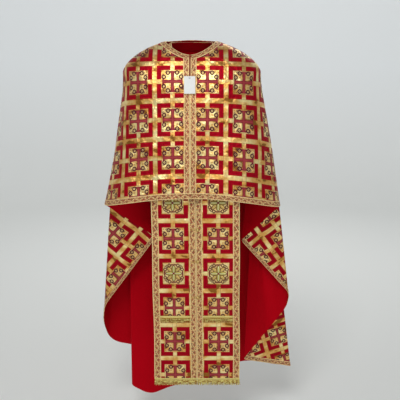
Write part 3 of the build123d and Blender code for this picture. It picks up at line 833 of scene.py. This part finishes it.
def fringe(name, surface, side, across, heights, heading, pitch, material):
    """A cut fringe: a corded heading and a dense row of twisted strands that sway a little."""
    top, bottom = heights
    low, high = across
    sign = 1 if side == "right" else -1
    verts, faces, uvs = [], [], []

    def add(part, place):
        base = len(verts)
        verts.extend(part[0])
        faces.extend([tuple(base + k for k in face) for face in part[1]])
        uvs.extend([(place, v[2]) for v in part[0]])

    count = int((high - low) / pitch)
    places = low + (np.arange(count) + 0.5) * (high - low) / count
    for x, depth in zip(places, depths(surface, side, places, max(top - heading, STOLE_END + 1))):
        length = (top - bottom - heading) * rng.uniform(0.86, 1.0)
        sway, bulge = rng.uniform(-3.0, 3.0), rng.uniform(0.2, 1.6)
        line = []
        for t in np.linspace(0, 1, len(STRAND_RADII)):
            z = top - heading + 1 - length * t
            place_x = sign * (x + sway * t * t) + stole_centre(z)
            line.append((place_x, depth - 1.3 - bulge * math.sin(2.5 * t), z))
        add(tube(line, STRAND_RADII, 6), sign * x + 8 * rng.random())
    places = np.linspace(low, high, int((high - low) / CORD_PITCH) + 1)
    cords = max(2, round(heading / CORD_PITCH))
    for cord in range(cords):
        z = top - heading * (cord + 0.5) / cords
        line = []
        for i, (x, depth) in enumerate(zip(places, depths(surface, side, places, max(z, STOLE_END + 1)))):
            bump = 1.1 + 0.28 * math.sin(i * 2.1 + cord * 1.7)
            for turn in turns(6):
                y = depth - 1.5 + 0.8 * bump * math.cos(turn)
                line.append((sign * x + stole_centre(z), y, z - sign * 1.25 * bump * math.sin(turn)))
        add((line, ring_faces(len(places), 6)), cord * 100.0)
    return make_piece(name, np.array(verts) * MM, faces, np.array(uvs) * MM, material)


def neckband_surface():
    """The stole's band round the back of the neck, lying below the chasuble's collar."""
    rows = []
    for share in np.linspace(0, 1, 13):
        row = []
        width = NECKBAND_WIDTH[0] + NECKBAND_WIDTH[1] * share
        back = NECKBAND_BACK[0] + NECKBAND_BACK[1] * share
        for bearing in np.linspace(*NECKBAND_ENDS, 73):
            angle = math.radians(bearing)
            radius = oval(bearing, width, NECKBAND_FRONT, back, NECK_ROUNDNESS)
            cosine = math.cos(angle)
            height = (NECKBAND_RISE - NECKBAND_DROP * share) * cosine**2
            height = height - NECKBAND_SIDE_DROP * share * (1 - cosine**2)
            row.append((radius * math.sin(angle), -radius * cosine, height))
        rows.append(row)
    points = np.array(rows)[:, ::-1]
    flat = np.stack([lengths_along(points, 1), lengths_along(points, 0)], axis=2)
    return make_surface(points, flat, np.zeros(points.shape[:2]))


# ---------------------------------------------------------------- materials
class Graph:
    """One material, built up from masks and layers of colour."""

    def __init__(self, name, roughness, **uniform):
        self.material = bpy.data.materials.new(name)
        self.material.use_nodes = True
        self.tree = self.material.node_tree
        self.shader = self.tree.nodes["Principled BSDF"]
        self.done(Roughness=roughness, **uniform)

    def done(self, **values):
        for name, value in values.items():
            self.put(self.shader.inputs[name.replace("_", " ")], value)
        return self.material

    def put(self, socket, value):
        if isinstance(value, bpy.types.NodeSocket):
            self.tree.links.new(value, socket)
        elif isinstance(value, tuple) and len(value) == 3 and socket.type == "RGBA":
            socket.default_value = (*value, 1)
        else:
            socket.default_value = value

    def node(self, kind, output, inputs, **settings):
        node = self.tree.nodes.new(kind)
        for name, value in settings.items():
            setattr(node, name, value)
        for name, value in inputs.items():
            self.put(node.inputs[name], value)
        return node.outputs[output]

    def math(self, operation, *values):
        return self.node("ShaderNodeMath", 0, dict(enumerate(values)), operation=operation)

    def apart(self, first, second):
        return self.math("ABSOLUTE", self.math("SUBTRACT", first, second))

    def squares(self, first, second):
        """The sum of the two squares."""
        return self.math("ADD", self.math("MULTIPLY", first, first), self.math("MULTIPLY", second, second))

    def below(self, value, edge, soft):
        """1 where value is under edge and 0 past it, eased over soft."""
        ramp = self.math("MULTIPLY_ADD", value, -1 / soft, edge / soft + 0.5)
        return self.node("ShaderNodeClamp", 0, {"Value": ramp})

    def above(self, value, edge, soft):
        return self.below(value, edge, -soft)

    def within(self, value, low, high, soft):
        return self.both(self.above(value, low, soft), self.below(value, high, soft))

    def both(self, *masks):
        return functools.reduce(functools.partial(self.math, "MULTIPLY"), masks)

    def either(self, *masks):
        return functools.reduce(functools.partial(self.math, "MAXIMUM"), masks)

    def mix(self, share, first, second, amount=1.0):
        """From first to second by a share, of which only an amount counts."""
        if amount < 1.0:
            share = self.math("MULTIPLY", share, amount)
        return self.node("ShaderNodeMix", 2, {0: share, 6: first, 7: second}, data_type="RGBA")

    def cloth_uv(self):
        """The cloth's flat place as a vector, its place across and its place down."""
        found = self.node("ShaderNodeUVMap", 0, {}, uv_map="cloth")
        node = self.tree.nodes.new("ShaderNodeSeparateXYZ")
        self.tree.links.new(found, node.inputs[0])
        return found, node.outputs[0], node.outputs[1]

    def noise(self, vector, scale, detail=2.0, stretch=(1, 1, 1)):
        place = self.node("ShaderNodeMapping", 0, {"Vector": vector, "Scale": stretch})
        return self.node("ShaderNodeTexNoise", "Fac", {"Vector": place, "Scale": scale, "Detail": detail})

    def wave(self, vector, scale, distortion=0.0, direction="Y"):
        inputs = {"Vector": vector, "Scale": scale, "Distortion": distortion}
        return self.node("ShaderNodeTexWave", "Fac", inputs, bands_direction=direction)

    def bump(self, height, strength, distance, normal=None):
        inputs = {"Height": height, "Strength": strength, "Distance": distance}
        if normal is not None:
            inputs["Normal"] = normal
        return self.node("ShaderNodeBump", 0, inputs)


def gold_ground(g, vector, size):
    """Woven foil gold: painted highlights and painted shade in patches stand in for its sheen, and it has
    fine ribs. Returns colour and ribs.
    """
    painted_sheen = g.noise(vector, 2.6 / size, 3.0, (0.75, 1.35, 1))
    shimmer = g.noise(vector, 26 / size, 2.0, (1, 0.22, 1))
    # Painted sheen: the patches and the shimmer set how bright the gold is, between mid and bright gold.
    bright = g.math("MULTIPLY_ADD", shimmer, 0.9, g.math("MULTIPLY_ADD", painted_sheen, 3.4, -1.64))
    colour = g.mix(g.node("ShaderNodeClamp", 0, {"Value": bright}), GOLD_MID, GOLD_BRIGHT)
    # Painted highlights: pale gold where the patches are high.
    colour = g.mix(g.above(painted_sheen, 0.56, 0.16), colour, GOLD_PALE)
    # Painted shade: deep gold where the patches are low.
    return g.mix(g.below(painted_sheen, 0.395, 0.035), colour, GOLD_DEEP, 0.76), shimmer


def cell_distances(g, u, v):
    """The larger and the smaller distance from the middle of a repeat, which runs from -0.5 to 0.5."""
    cell = [g.math("SUBTRACT", g.math("FRACT", g.math("ADD", k, 0.5)), 0.5) for k in (u, v)]
    sizes = [g.math("ABSOLUTE", k) for k in cell]
    return g.math("MAXIMUM", *sizes), g.math("MINIMUM", *sizes)


def ring_mask(g, far, near, far_middle, near_middle, inner, outer):
    """A ring round a point of the repeat, its inside, and the distance from the point."""
    offsets = (g.math("SUBTRACT", far, far_middle), g.math("SUBTRACT", near, near_middle))
    reach = g.math("SQRT", g.squares(*offsets))
    soft = 0.16 * outer
    return g.within(reach, inner, outer, soft), g.below(reach, inner, soft), reach


def brocade_material():
    """Crimson and gold brocade: a lattice of gold bars, gold squares with scrolled crosses, red angles."""
    g = Graph("brocade", 0.40, Specular_IOR_Level=0.10)
    vector, u, v = g.cloth_uv()
    far, near = cell_distances(g, u, v)
    edge = 0.006  # how sharply one colour meets the next, as a share of the repeat
    thread = g.noise(vector, 150.0, 1.0, (1, 3, 1))

    # Gold ground, with a tile in each quarter of the square and dark outlines.
    # The gold ground carries painted highlights and painted shade in patches.
    gold, shimmer = gold_ground(g, vector, 1.0)
    outline = g.either(
        g.within(far, *OUTER_LINE, edge),
        g.within(far, *INNER_LINE, edge),
        g.both(g.within(near, *BAR_LINE, edge), g.above(far, 0.305, edge)),
    )
    tile_reach = g.math("MAXIMUM", g.apart(far, TILE_FAR), g.apart(near, TILE_NEAR))
    corner = ring_mask(g, far, near, *CORNER_DOT)[0]
    gold = g.mix(g.below(tile_reach, TILE_HALF_WIDTH, 0.01), gold, GOLD_PALE, 0.55)
    gold = g.mix(g.either(g.below(tile_reach, 0.020, 0.02), corner), gold, GOLD_BRONZE, 0.75)
    gold = g.mix(outline, gold, GOLD_DEEP, 0.40)

    # Red angles.
    angle = g.both(g.within(far, *ANGLE_BAND, edge), g.above(near, ANGLE_GAP, edge))
    red = g.mix(g.within(far, *ANGLE_SEAM, edge), CRIMSON, CRIMSON_DEEP, 0.55)
    red = g.mix(thread, red, CRIMSON_DEEP, 0.40)

    # The cross: flared arms with tips, and scrolls between them.
    scroll, inside, reach = ring_mask(g, far, near, *CROSS_SCROLL)
    hook = ring_mask(g, far, near, *CROSS_HOOK)[0]
    scrolls = g.either(scroll, hook, g.below(reach, 0.013, 0.006))
    tip = g.both(g.within(far, *TIP_REACH, 0.008), g.below(near, TIP_HALF_WIDTH, 0.01))
    flare = g.math("MULTIPLY_ADD", g.apart(far, 0.12), 0.10, 0.040)
    arm_width = g.math("SUBTRACT", near, flare)
    arm = g.both(g.below(arm_width, 0.0, 0.008), g.below(far, 0.275, 0.008))
    rim = g.both(g.above(arm_width, -0.013, 0.006), arm)
    vein = g.both(g.below(near, 0.008, 0.005), g.below(far, 0.26, 0.01))
    russet = g.mix(vein, RUSSET, VEIN, 0.45)
    russet = g.mix(rim, russet, PLUM, 0.75)
    russet = g.mix(thread, russet, CROSS_THREAD, 0.30)

    colour = g.mix(angle, gold, red)
    colour = g.mix(tip, colour, CROSS_TIP)
    colour = g.mix(inside, colour, GOLD_PALE, 0.45)
    colour = g.mix(scrolls, colour, PLUM)
    colour = g.mix(arm, colour, russet)
    silk = g.either(scrolls, arm, tip, angle)
    metal = g.math("MULTIPLY_ADD", scrolls, -0.80, g.math("MULTIPLY_ADD", angle, -0.35, 0.88))
    metal = g.math("MULTIPLY_ADD", g.either(arm, tip), -0.45, metal)
    rough = g.math("MULTIPLY_ADD", silk, 0.16, g.math("MULTIPLY_ADD", shimmer, 0.16, 0.26))
    normal = g.bump(g.noise(vector, 6.0, 3.0), 0.55, 0.014)
    normal = g.bump(silk, 0.35, -0.0006, normal)
    normal = g.bump(g.wave(vector, 52.0), 0.22, 0.0003, normal)
    return g.done(Base_Color=colour, Metallic=metal, Roughness=rough, Normal=normal)


def lining_material():
    """Plain crimson satin with a faint lengthwise grain."""
    g = Graph("lining", 0.48, Metallic=0.35, Specular_IOR_Level=0.04, Sheen_Weight=0.10, Sheen_Roughness=0.4)
    vector, _, _ = g.cloth_uv()
    grain = g.noise(vector, 900.0, 2.0, (1, 0.05, 1))
    colour = g.mix(grain, SATIN, SATIN_DEEP, 0.35)
    colour = g.mix(g.noise(vector, 6.0, 2.0), colour, SATIN_BRIGHT, 0.25)
    normal = g.bump(g.noise(vector, 14.0, 2.0, (1, 0.35, 1)), 0.25, 0.004)
    normal = g.bump(grain, 0.12, 0.0003, normal)
    return g.done(Base_Color=colour, Normal=normal, Sheen_Tint=SATIN_SHEEN)


def galloon_material(name, repeat, tone):
    """Woven braid: plain gold edges and a zigzag vine with small red and dark flowers."""
    g = Graph(name, 0.42, Specular_IOR_Level=0.2)
    vector, across, along = g.cloth_uv()
    beat = g.math("FRACT", g.math("DIVIDE", along, repeat))
    vine_place = g.math("MULTIPLY_ADD", g.apart(beat, 0.5), 0.84, 0.29)
    vine = g.below(g.apart(across, vine_place), 0.045, 0.03)
    aside = g.apart(across, 0.5)
    flower_row = g.math("SUBTRACT", aside, 0.13)
    flower_beat = g.math("SUBTRACT", g.math("FRACT", g.math("MULTIPLY_ADD", beat, 2.0, 0.5)), 0.5)
    flower_far = g.math("SQRT", g.squares(flower_row, g.math("MULTIPLY", flower_beat, 0.30)))
    petals = g.within(flower_far, 0.055, 0.10, 0.03)
    heart = g.below(flower_far, 0.045, 0.02)
    place = g.node("ShaderNodeMapping", 0, {"Vector": vector, "Scale": (0.022, 1, 1)})
    cells = g.tree.nodes.new("ShaderNodeTexVoronoi")
    cells.inputs["Scale"].default_value = 360.0
    g.tree.links.new(place, cells.inputs["Vector"])
    picked = g.tree.nodes.new("ShaderNodeSeparateColor")
    g.tree.links.new(cells.outputs["Color"], picked.inputs[0])
    red_fleck = g.math("MULTIPLY", g.above(picked.outputs[1], 0.80, 0.02), 0.9)
    dark_fleck = g.math("MULTIPLY", g.above(picked.outputs[2], 0.80, 0.02), 0.85)
    colour = g.mix(picked.outputs[0], tone[0], tone[1])
    colour = g.mix(red_fleck, colour, RED_FLECK)
    colour = g.mix(dark_fleck, colour, DARK_FLECK)
    colour = g.mix(petals, colour, FLOWER_PETAL)
    colour = g.mix(heart, colour, FLOWER_HEART)
    colour = g.mix(vine, colour, tone[2], 0.8)
    colour = g.mix(g.above(aside, 0.39, 0.02), colour, tone[2])
    plies = g.wave(place, 260.0)
    colour = g.mix(plies, colour, BRAID_SHADE, 0.22)
    metal = g.math("MULTIPLY_ADD", g.either(petals, heart, red_fleck, dark_fleck), -0.45, 0.55)
    normal = g.bump(cells.outputs["Distance"], 0.5, 0.0006)
    normal = g.bump(plies, 0.35, 0.0005, normal)
    return g.done(Base_Color=colour, Metallic=metal, Normal=normal)


def fringe_material():
    """Twisted lurex: a steep spiral on each strand, and darker clumps."""
    g = Graph("fringe", 0.36, Metallic=0.7)
    vector, _, _ = g.cloth_uv()
    twist = g.wave(vector, 210.0, 1.5)
    clumps = g.above(g.noise(vector, 140.0, 1.0), 0.49, 0.16)
    colour = g.mix(clumps, FRINGE_DARK, FRINGE_BRIGHT)
    colour = g.mix(twist, colour, FRINGE_SHADE, 0.5)
    return g.done(Base_Color=colour, Normal=g.bump(twist, 0.5, 0.0004))


def embroidery_material():
    """The raised cross: green-gold petals both ways and slantwise, plum scrolls round them, a gold ground."""
    g = Graph("embroidery", 0.40, Specular_IOR_Level=0.15)
    vector, u, v = g.cloth_uv()
    sizes = [g.math("ABSOLUTE", k) for k in (u, v)]
    far, near = g.math("MAXIMUM", *sizes), g.math("MINIMUM", *sizes)
    # The gold ground carries painted highlights and painted shade in patches.
    gold, shimmer = gold_ground(g, vector, 0.6)
    gold = g.mix(0.45, gold, GOLD_PALE)
    slant_far = g.math("MULTIPLY", g.math("ADD", far, near), math.sqrt(0.5))
    slant_near = g.math("MULTIPLY", g.math("SUBTRACT", far, near), math.sqrt(0.5))

    def petal_mask(along, aside, shape, margin=0.0):
        """Inside a petal and a margin round it."""
        middle, half_length, half_width = shape
        along = g.math("DIVIDE", g.math("SUBTRACT", along, middle), half_length + margin)
        aside = g.math("DIVIDE", aside, half_width + margin)
        return g.below(g.squares(along, aside), 1.0, 0.15)

    petal = petal_mask(far, near, PETAL)
    scroll_far, scroll_near, size = SCROLL
    ring = ring_mask(g, far, near, scroll_far, scroll_near, size * 0.5, size)[0]
    second = ring_mask(g, far, near, scroll_near + 0.17, scroll_near + 0.11, size * 0.35, size * 0.75)[0]
    tip = g.both(g.within(far, 0.40, 0.465, 0.012), g.below(near, 0.12, 0.012))
    boss = g.below(g.math("SQRT", g.squares(u, v)), 0.05, 0.012)
    stitch = g.wave(vector, 26.0, 0.6, "DIAGONAL")
    green = g.mix(shimmer, PETAL_DARK, PETAL_LIGHT)
    colour = g.mix(tip, gold, EMBROIDERED_TIP)
    colour = g.mix(petal_mask(slant_far, slant_near, SLANT_PETAL, 0.03), colour, SLANT_EDGE)
    colour = g.mix(petal_mask(slant_far, slant_near, SLANT_PETAL), colour, SLANT_GOLD)
    colour = g.mix(petal_mask(far, near, PETAL, 0.03), colour, PETAL_EDGE)
    colour = g.mix(petal, colour, green)
    colour = g.mix(g.both(petal, g.below(near, 0.016, 0.01)), colour, PETAL_VEIN)
    colour = g.mix(g.either(ring, second), colour, PLUM)
    colour = g.mix(boss, colour, EMBROIDERED_BOSS)
    colour = g.mix(stitch, colour, STITCH_SHADE, 0.25)
    metal = g.math("MULTIPLY_ADD", g.either(tip, ring, second, boss), -0.5, 0.75)
    return g.done(Base_Color=colour, Metallic=metal, Normal=g.bump(stitch, 0.5, 0.0005))


def small_material(name, colour, second, scale, roughness, metallic, bump):
    """A mottled finish for a small hard part, patterned by its place on the object."""
    g = Graph(name, roughness, Metallic=metallic)
    place = g.node("ShaderNodeTexCoord", "Object", {})
    grain = g.noise(place, scale, 3.0)
    return g.done(Base_Color=g.mix(grain, colour, second), Normal=g.bump(grain, bump, 0.0004))


# ---------------------------------------------------------------- small parts and the back's cross
def spots(surface, x, z):
    """Fractional rows and columns of the back's points with those x and z, near its middle."""
    points = surface["points"]
    middle = int(np.argmax(points[YOKE_ROWS, :, 1]))
    window = np.arange(middle + BACK_WINDOW, middle - BACK_WINDOW - 1, -1)
    rows, columns = np.zeros(x.shape), np.zeros(x.shape)
    for place in np.ndindex(x.shape):
        row, column = YOKE_ROWS + 1.0, float(middle)
        for _ in range(6):
            i, part = int(row), row - int(row)
            line = points[i, window, 0] * (1 - part) + points[i + 1, window, 0] * part
            column = float(np.interp(x[place], line, window))
            j, part = int(column), column - int(column)
            line = points[:, j, 2] * (1 - part) + points[:, j + 1, 2] * part
            row = float(np.interp(-z[place], -line, np.arange(len(line))))
        rows[place], columns[place] = row, column
    return rows, columns


def back_cross(name, surface, material):
    """A cross of galloon between the shoulder blades: an upright and two arms, joined in one piece."""
    half = CROSS_HALF_WIDTH
    across = half - 2 * half * BAND_SHARES
    x, z = np.meshgrid(across, np.linspace(CROSS_Z + CROSS_ARM, CROSS_Z - CROSS_FOOT, 40))
    pieces = [band(name, surface, *spots(surface, x, z), material, False)]
    for low, high in ((CROSS_ARM, half), (-half, -CROSS_ARM)):
        x, z = np.meshgrid(np.linspace(low, high, 16), CROSS_Z + across)
        pieces.append(band(name + "_arm", surface, *spots(surface, x, z), material, True))
    return joined(pieces)


def joined(pieces):
    """Make one piece of several; the first keeps its name."""
    bpy.ops.object.select_all(action="DESELECT")
    for piece in pieces:
        piece.select_set(True)
    bpy.context.view_layer.objects.active = pieces[0]
    bpy.ops.object.join()
    return pieces[0]


def lathe(place, profile, sides):
    """Vertices and faces of a round part that faces forward: profile is (radius, distance forward)."""
    verts = []
    for k, (radius, forward) in enumerate(profile):
        beaded = 0.2 < k / len(profile) < 0.45
        for turn in turns(sides):
            size = radius + (0.25 * math.cos(6 * turn) if beaded else 0)
            x, z = place[0] + size * math.cos(turn), place[2] - size * math.sin(turn)
            verts.append((x, place[1] - forward, z))
    return verts, ring_faces(len(profile), sides)


def gathered(name, parts, material):
    verts, faces = [], []
    for part_verts, part_faces in parts:
        base = len(verts)
        verts.extend(part_verts)
        faces.extend([tuple(base + k for k in face) for face in part_faces])
    return make_piece(name, np.array(verts) * MM, faces, None, material)


def stole_buttons(name, surface, material):
    parts = []
    for z in BUTTON_HEIGHTS:
        depth = depths(surface, "right", [BUTTON_ASIDE], z)[0]
        parts.append(lathe((stole_centre(z) + BUTTON_ASIDE, depth - 1.2, z), BUTTON_PROFILE, 36))
    return gathered(name, parts, material)


def button_loops(name, surface, material):
    """A two-ply cord from the left galloon round each button."""
    parts = []
    for z in BUTTON_HEIGHTS:
        depth = depths(surface, "right", [BUTTON_ASIDE], z)[0] - LOOP_FORWARD
        middle = stole_centre(z) + BUTTON_ASIDE
        path = []
        for i in range(12):
            path.append((middle - LOOP_REACH + 21 * i / 12, z + 2.0 + 0.5 * math.sin(i / 3)))
        for i in range(41):
            turn = math.radians(150 - 300 * i / 40)
            path.append((middle + LOOP_RADIUS * math.cos(turn), z + LOOP_RADIUS * math.sin(turn)))
        for i in range(12):
            path.append((middle - 6 - 20 * (i + 1) / 12, z - 2.6 - 0.5 * math.sin(i / 3)))
        for ply in (0, math.pi):
            line = []
            for k, (x, height) in enumerate(path):
                twist = k * 1.1 + ply
                forward, rise = PLY_OFFSET * math.cos(twist), PLY_OFFSET * math.sin(twist)
                line.append((x, depth + forward, height + rise))
            parts.append(tube_along(line, PLY_RADIUS, 7))
    return gathered(name, parts, material)


def tube_along(line, radius, sides):
    """A round cord through points that lie roughly in one upright plane."""
    line = np.array(line)
    tangents = np.gradient(line, axis=0)
    tangents /= np.linalg.norm(tangents, axis=1, keepdims=True)
    forward = np.array([0.0, 1.0, 0.0])
    verts = []
    for point, tangent in zip(line, tangents):
        aside = np.cross(tangent, forward)
        aside /= np.linalg.norm(aside)
        rise = np.cross(aside, tangent)
        for turn in turns(sides):
            verts.append(tuple(point + radius * (aside * math.cos(turn) + rise * math.sin(turn))))
    return verts, ring_faces(len(line), sides)


# ---------------------------------------------------------------- the pieces, what they ride on and stand for
def patterned(surface, cross, skipped=0):
    """The same surface with its flat places counted in repeats of the brocade, 0 at a cross."""
    repeats = (surface["flat"] - np.array(cross)) / np.array(REPEAT) + np.array([skipped, 0])
    return {**surface, "flat": repeats / MM}


def hang(piece, surface, rests_on, with_pieces=()):
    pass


def attach(piece, nodes, carried):
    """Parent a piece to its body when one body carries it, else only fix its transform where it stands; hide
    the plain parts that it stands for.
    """
    if isinstance(carried, str):
        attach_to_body(piece, carried)
    else:
        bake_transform(piece)
    if nodes:
        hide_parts(*nodes)


def build_front(side, finishes):
    surface = front_surface(side)
    brocade = patterned(surface, FRONT_CROSS, SKIPPED[side])
    cloth = slab(f"front_cloth_{side}", brocade, BROCADE, finishes["brocade"])
    satin = slab(f"front_satin_{side}", surface, LINING, finishes["lining"])
    hem = edge_band(f"front_hem_braid_{side}", surface, finishes["galloon"], True)
    neck = edge_band(f"neck_braid_{side}", surface, finishes["galloon"], False)
    centre = centre_band(f"centre_braid_{side}", surface, finishes["galloon"], side)
    attach(cloth, [f"front_brocade_{side}"], FRONT_BEND)
    attach(satin, [f"front_lining_{side}"], FRONT_BEND)
    attach(hem, [f"front_hem_galloon_{side}"], FRONT_BEND)
    attach(neck, [f"neck_galloon_{side}"], FRONT_BEND)
    attach(centre, [f"centre_galloon_{side}"], FRONT_BEND)
    hang(cloth, surface, [f"stole_cloth_{side}"], [hem, neck, centre])
    hang(satin, surface, [f"stole_cloth_{side}"])


def build_back(finishes):
    surface = back_surface()
    cloth = slab("back_cloth", patterned(surface, BACK_CROSS), BROCADE, finishes["brocade"])
    satin = slab("back_satin", surface, LINING, finishes["lining"])
    hem = edge_band("back_hem_braid", surface, finishes["galloon"], True)
    neck = edge_band("neck_braid_back", surface, finishes["galloon"], False)
    cross = back_cross("back_cross_braid", surface, finishes["galloon"])
    wide = {cloth: ("brocade", "brocade"), satin: ("lining", "lining"), hem: ("galloon", "hem_galloon")}
    for piece, (slot, thing) in wide.items():
        attach(piece, [f"back_{thing}", f"side_{thing}_left", f"side_{thing}_right"], BACK_BEND)
    attach(neck, ["neck_galloon_back"], BACK_BEND)
    attach(cross, ["back_cross"], BACK_BEND)
    hang(cloth, surface, ["neckband_cloth"], [hem, neck, cross])
    hang(satin, surface, ["neckband_cloth"])


def build_stole(side, finishes):
    surface = stole_surface(side)
    braid, lurex, edge = finishes["stole_galloon"], finishes["fringe"], STOLE_HALF_WIDTH - OUTER_GALLOON
    brocade = patterned(surface, STOLE_CROSS, SKIPPED[side])
    cloth = slab(f"stole_cloth_{side}", brocade, BROCADE, finishes["brocade"])
    satin = slab(f"stole_satin_{side}", surface, LINING, finishes["lining"])
    outer = stole_band(f"stole_outer_braid_{side}", surface, side, edge, STOLE_HALF_WIDTH, braid)
    inner = stole_band(f"stole_inner_braid_{side}", surface, side, 0.0, INNER_GALLOON, braid)
    between, whole = (INNER_GALLOON + 0.5, edge - 0.5), (0.3, STOLE_HALF_WIDTH)
    upper = fringe(f"stole_fringe_upper_{side}", surface, side, between, *UPPER_FRINGE, lurex)
    lower = fringe(f"stole_fringe_lower_{side}", surface, side, whole, *LOWER_FRINGE, lurex)
    crosses = []
    for row in EMBROIDERED_ROWS:
        centre = (STOLE_CROSS[0], STOLE_CROSS[1] + row * REPEAT[1])
        name = f"embroidery_{side}_{row}"
        crosses.append(embroidered_cross(name, surface, side, centre, finishes["embroidery"]))
    attach(cloth, [f"stole_chest_{side}", f"stole_brocade_{side}"], STOLE_BEND)
    attach(satin, [f"stole_chest_lining_{side}", f"stole_lining_{side}"], STOLE_BEND)
    attach(outer, [f"stole_chest_galloons_{side}", f"stole_outer_galloon_{side}"], STOLE_BEND)
    attach(inner, [f"stole_inner_galloon_{side}"], STOLE_BEND)
    attach(upper, [f"upper_fringe_{side}"], "stole_end")
    attach(lower, [f"bottom_fringe_{side}"], "stole_end")
    attach(crosses[0], [f"embroidered_crosses_{side}"], STOLE_BEND)
    attach(crosses[1], [], "stole_end")
    hang(cloth, surface, ["neckband_cloth"], [outer, inner, upper, lower, *crosses])
    hang(satin, surface, ["neckband_cloth"])
    return surface


def build_neckband(finishes):
    surface = neckband_surface()
    cloth = slab("neckband_cloth", patterned(surface, (0, 0)), BROCADE, finishes["brocade"])
    satin = slab("neckband_satin", surface, LINING, finishes["lining"])
    trim = edge_band("neckband_braid", surface, finishes["stole_galloon"], False)
    attach(cloth, ["neckband"], "yoke")
    attach(satin, ["neckband_lining"], "yoke")
    attach(trim, [], "yoke")
    hang(cloth, surface, ["stole_cloth_left", "stole_cloth_right"], [trim])
    hang(satin, surface, ["stole_cloth_left", "stole_cloth_right"])


def build_small_parts(surface, finishes):
    """Buttons and loops, and the finishes of the hang tag, whose shape is plain."""
    buttons = stole_buttons("buttons", surface, finishes["button"])
    loops = button_loops("loops", surface, finishes["cord"])
    attach(buttons, ["stole_buttons"], "stole_end")
    attach(loops, ["button_loops"], "stole_end")
    for node, finish in (("tag_card", "card"), ("tag_eyelet", "eyelet"), ("tag_barb", "barb")):
        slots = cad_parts[node].data.materials
        slots.clear()
        slots.append(finishes[finish])


finishes = {
    "brocade": brocade_material(),
    "lining": lining_material(),
    "galloon": galloon_material("galloon", 0.032, GALLOON_TONES),
    "stole_galloon": galloon_material("stole_galloon", 0.034, STOLE_TONES),
    "fringe": fringe_material(),
    "embroidery": embroidery_material(),
    "button": small_material("button_metal", (0.62, 0.42, 0.14), (0.85, 0.62, 0.26), 900.0, 0.28, 1.0, 0.15),
    "cord": small_material("cord_gold", (0.42, 0.24, 0.05), (0.75, 0.52, 0.18), 1400.0, 0.5, 0.5, 0.4),
    "card": small_material("card", (0.74, 0.74, 0.72), (0.84, 0.84, 0.82), 500.0, 0.75, 0.0, 0.08),
    "eyelet": small_material("eyelet_metal", (0.03, 0.03, 0.03), (0.09, 0.09, 0.09), 800.0, 0.35, 0.8, 0.1),
    "barb": small_material("barb_plastic", (0.70, 0.70, 0.70), (0.82, 0.82, 0.82), 600.0, 0.35, 0.0, 0.05),
}
make_camera()
make_studio()
make_stage()
build_neckband(finishes)
stole = {side: build_stole(side, finishes) for side in ("left", "right")}
for side in ("left", "right"):
    build_front(side, finishes)
build_back(finishes)
build_small_parts(stole["right"], finishes)
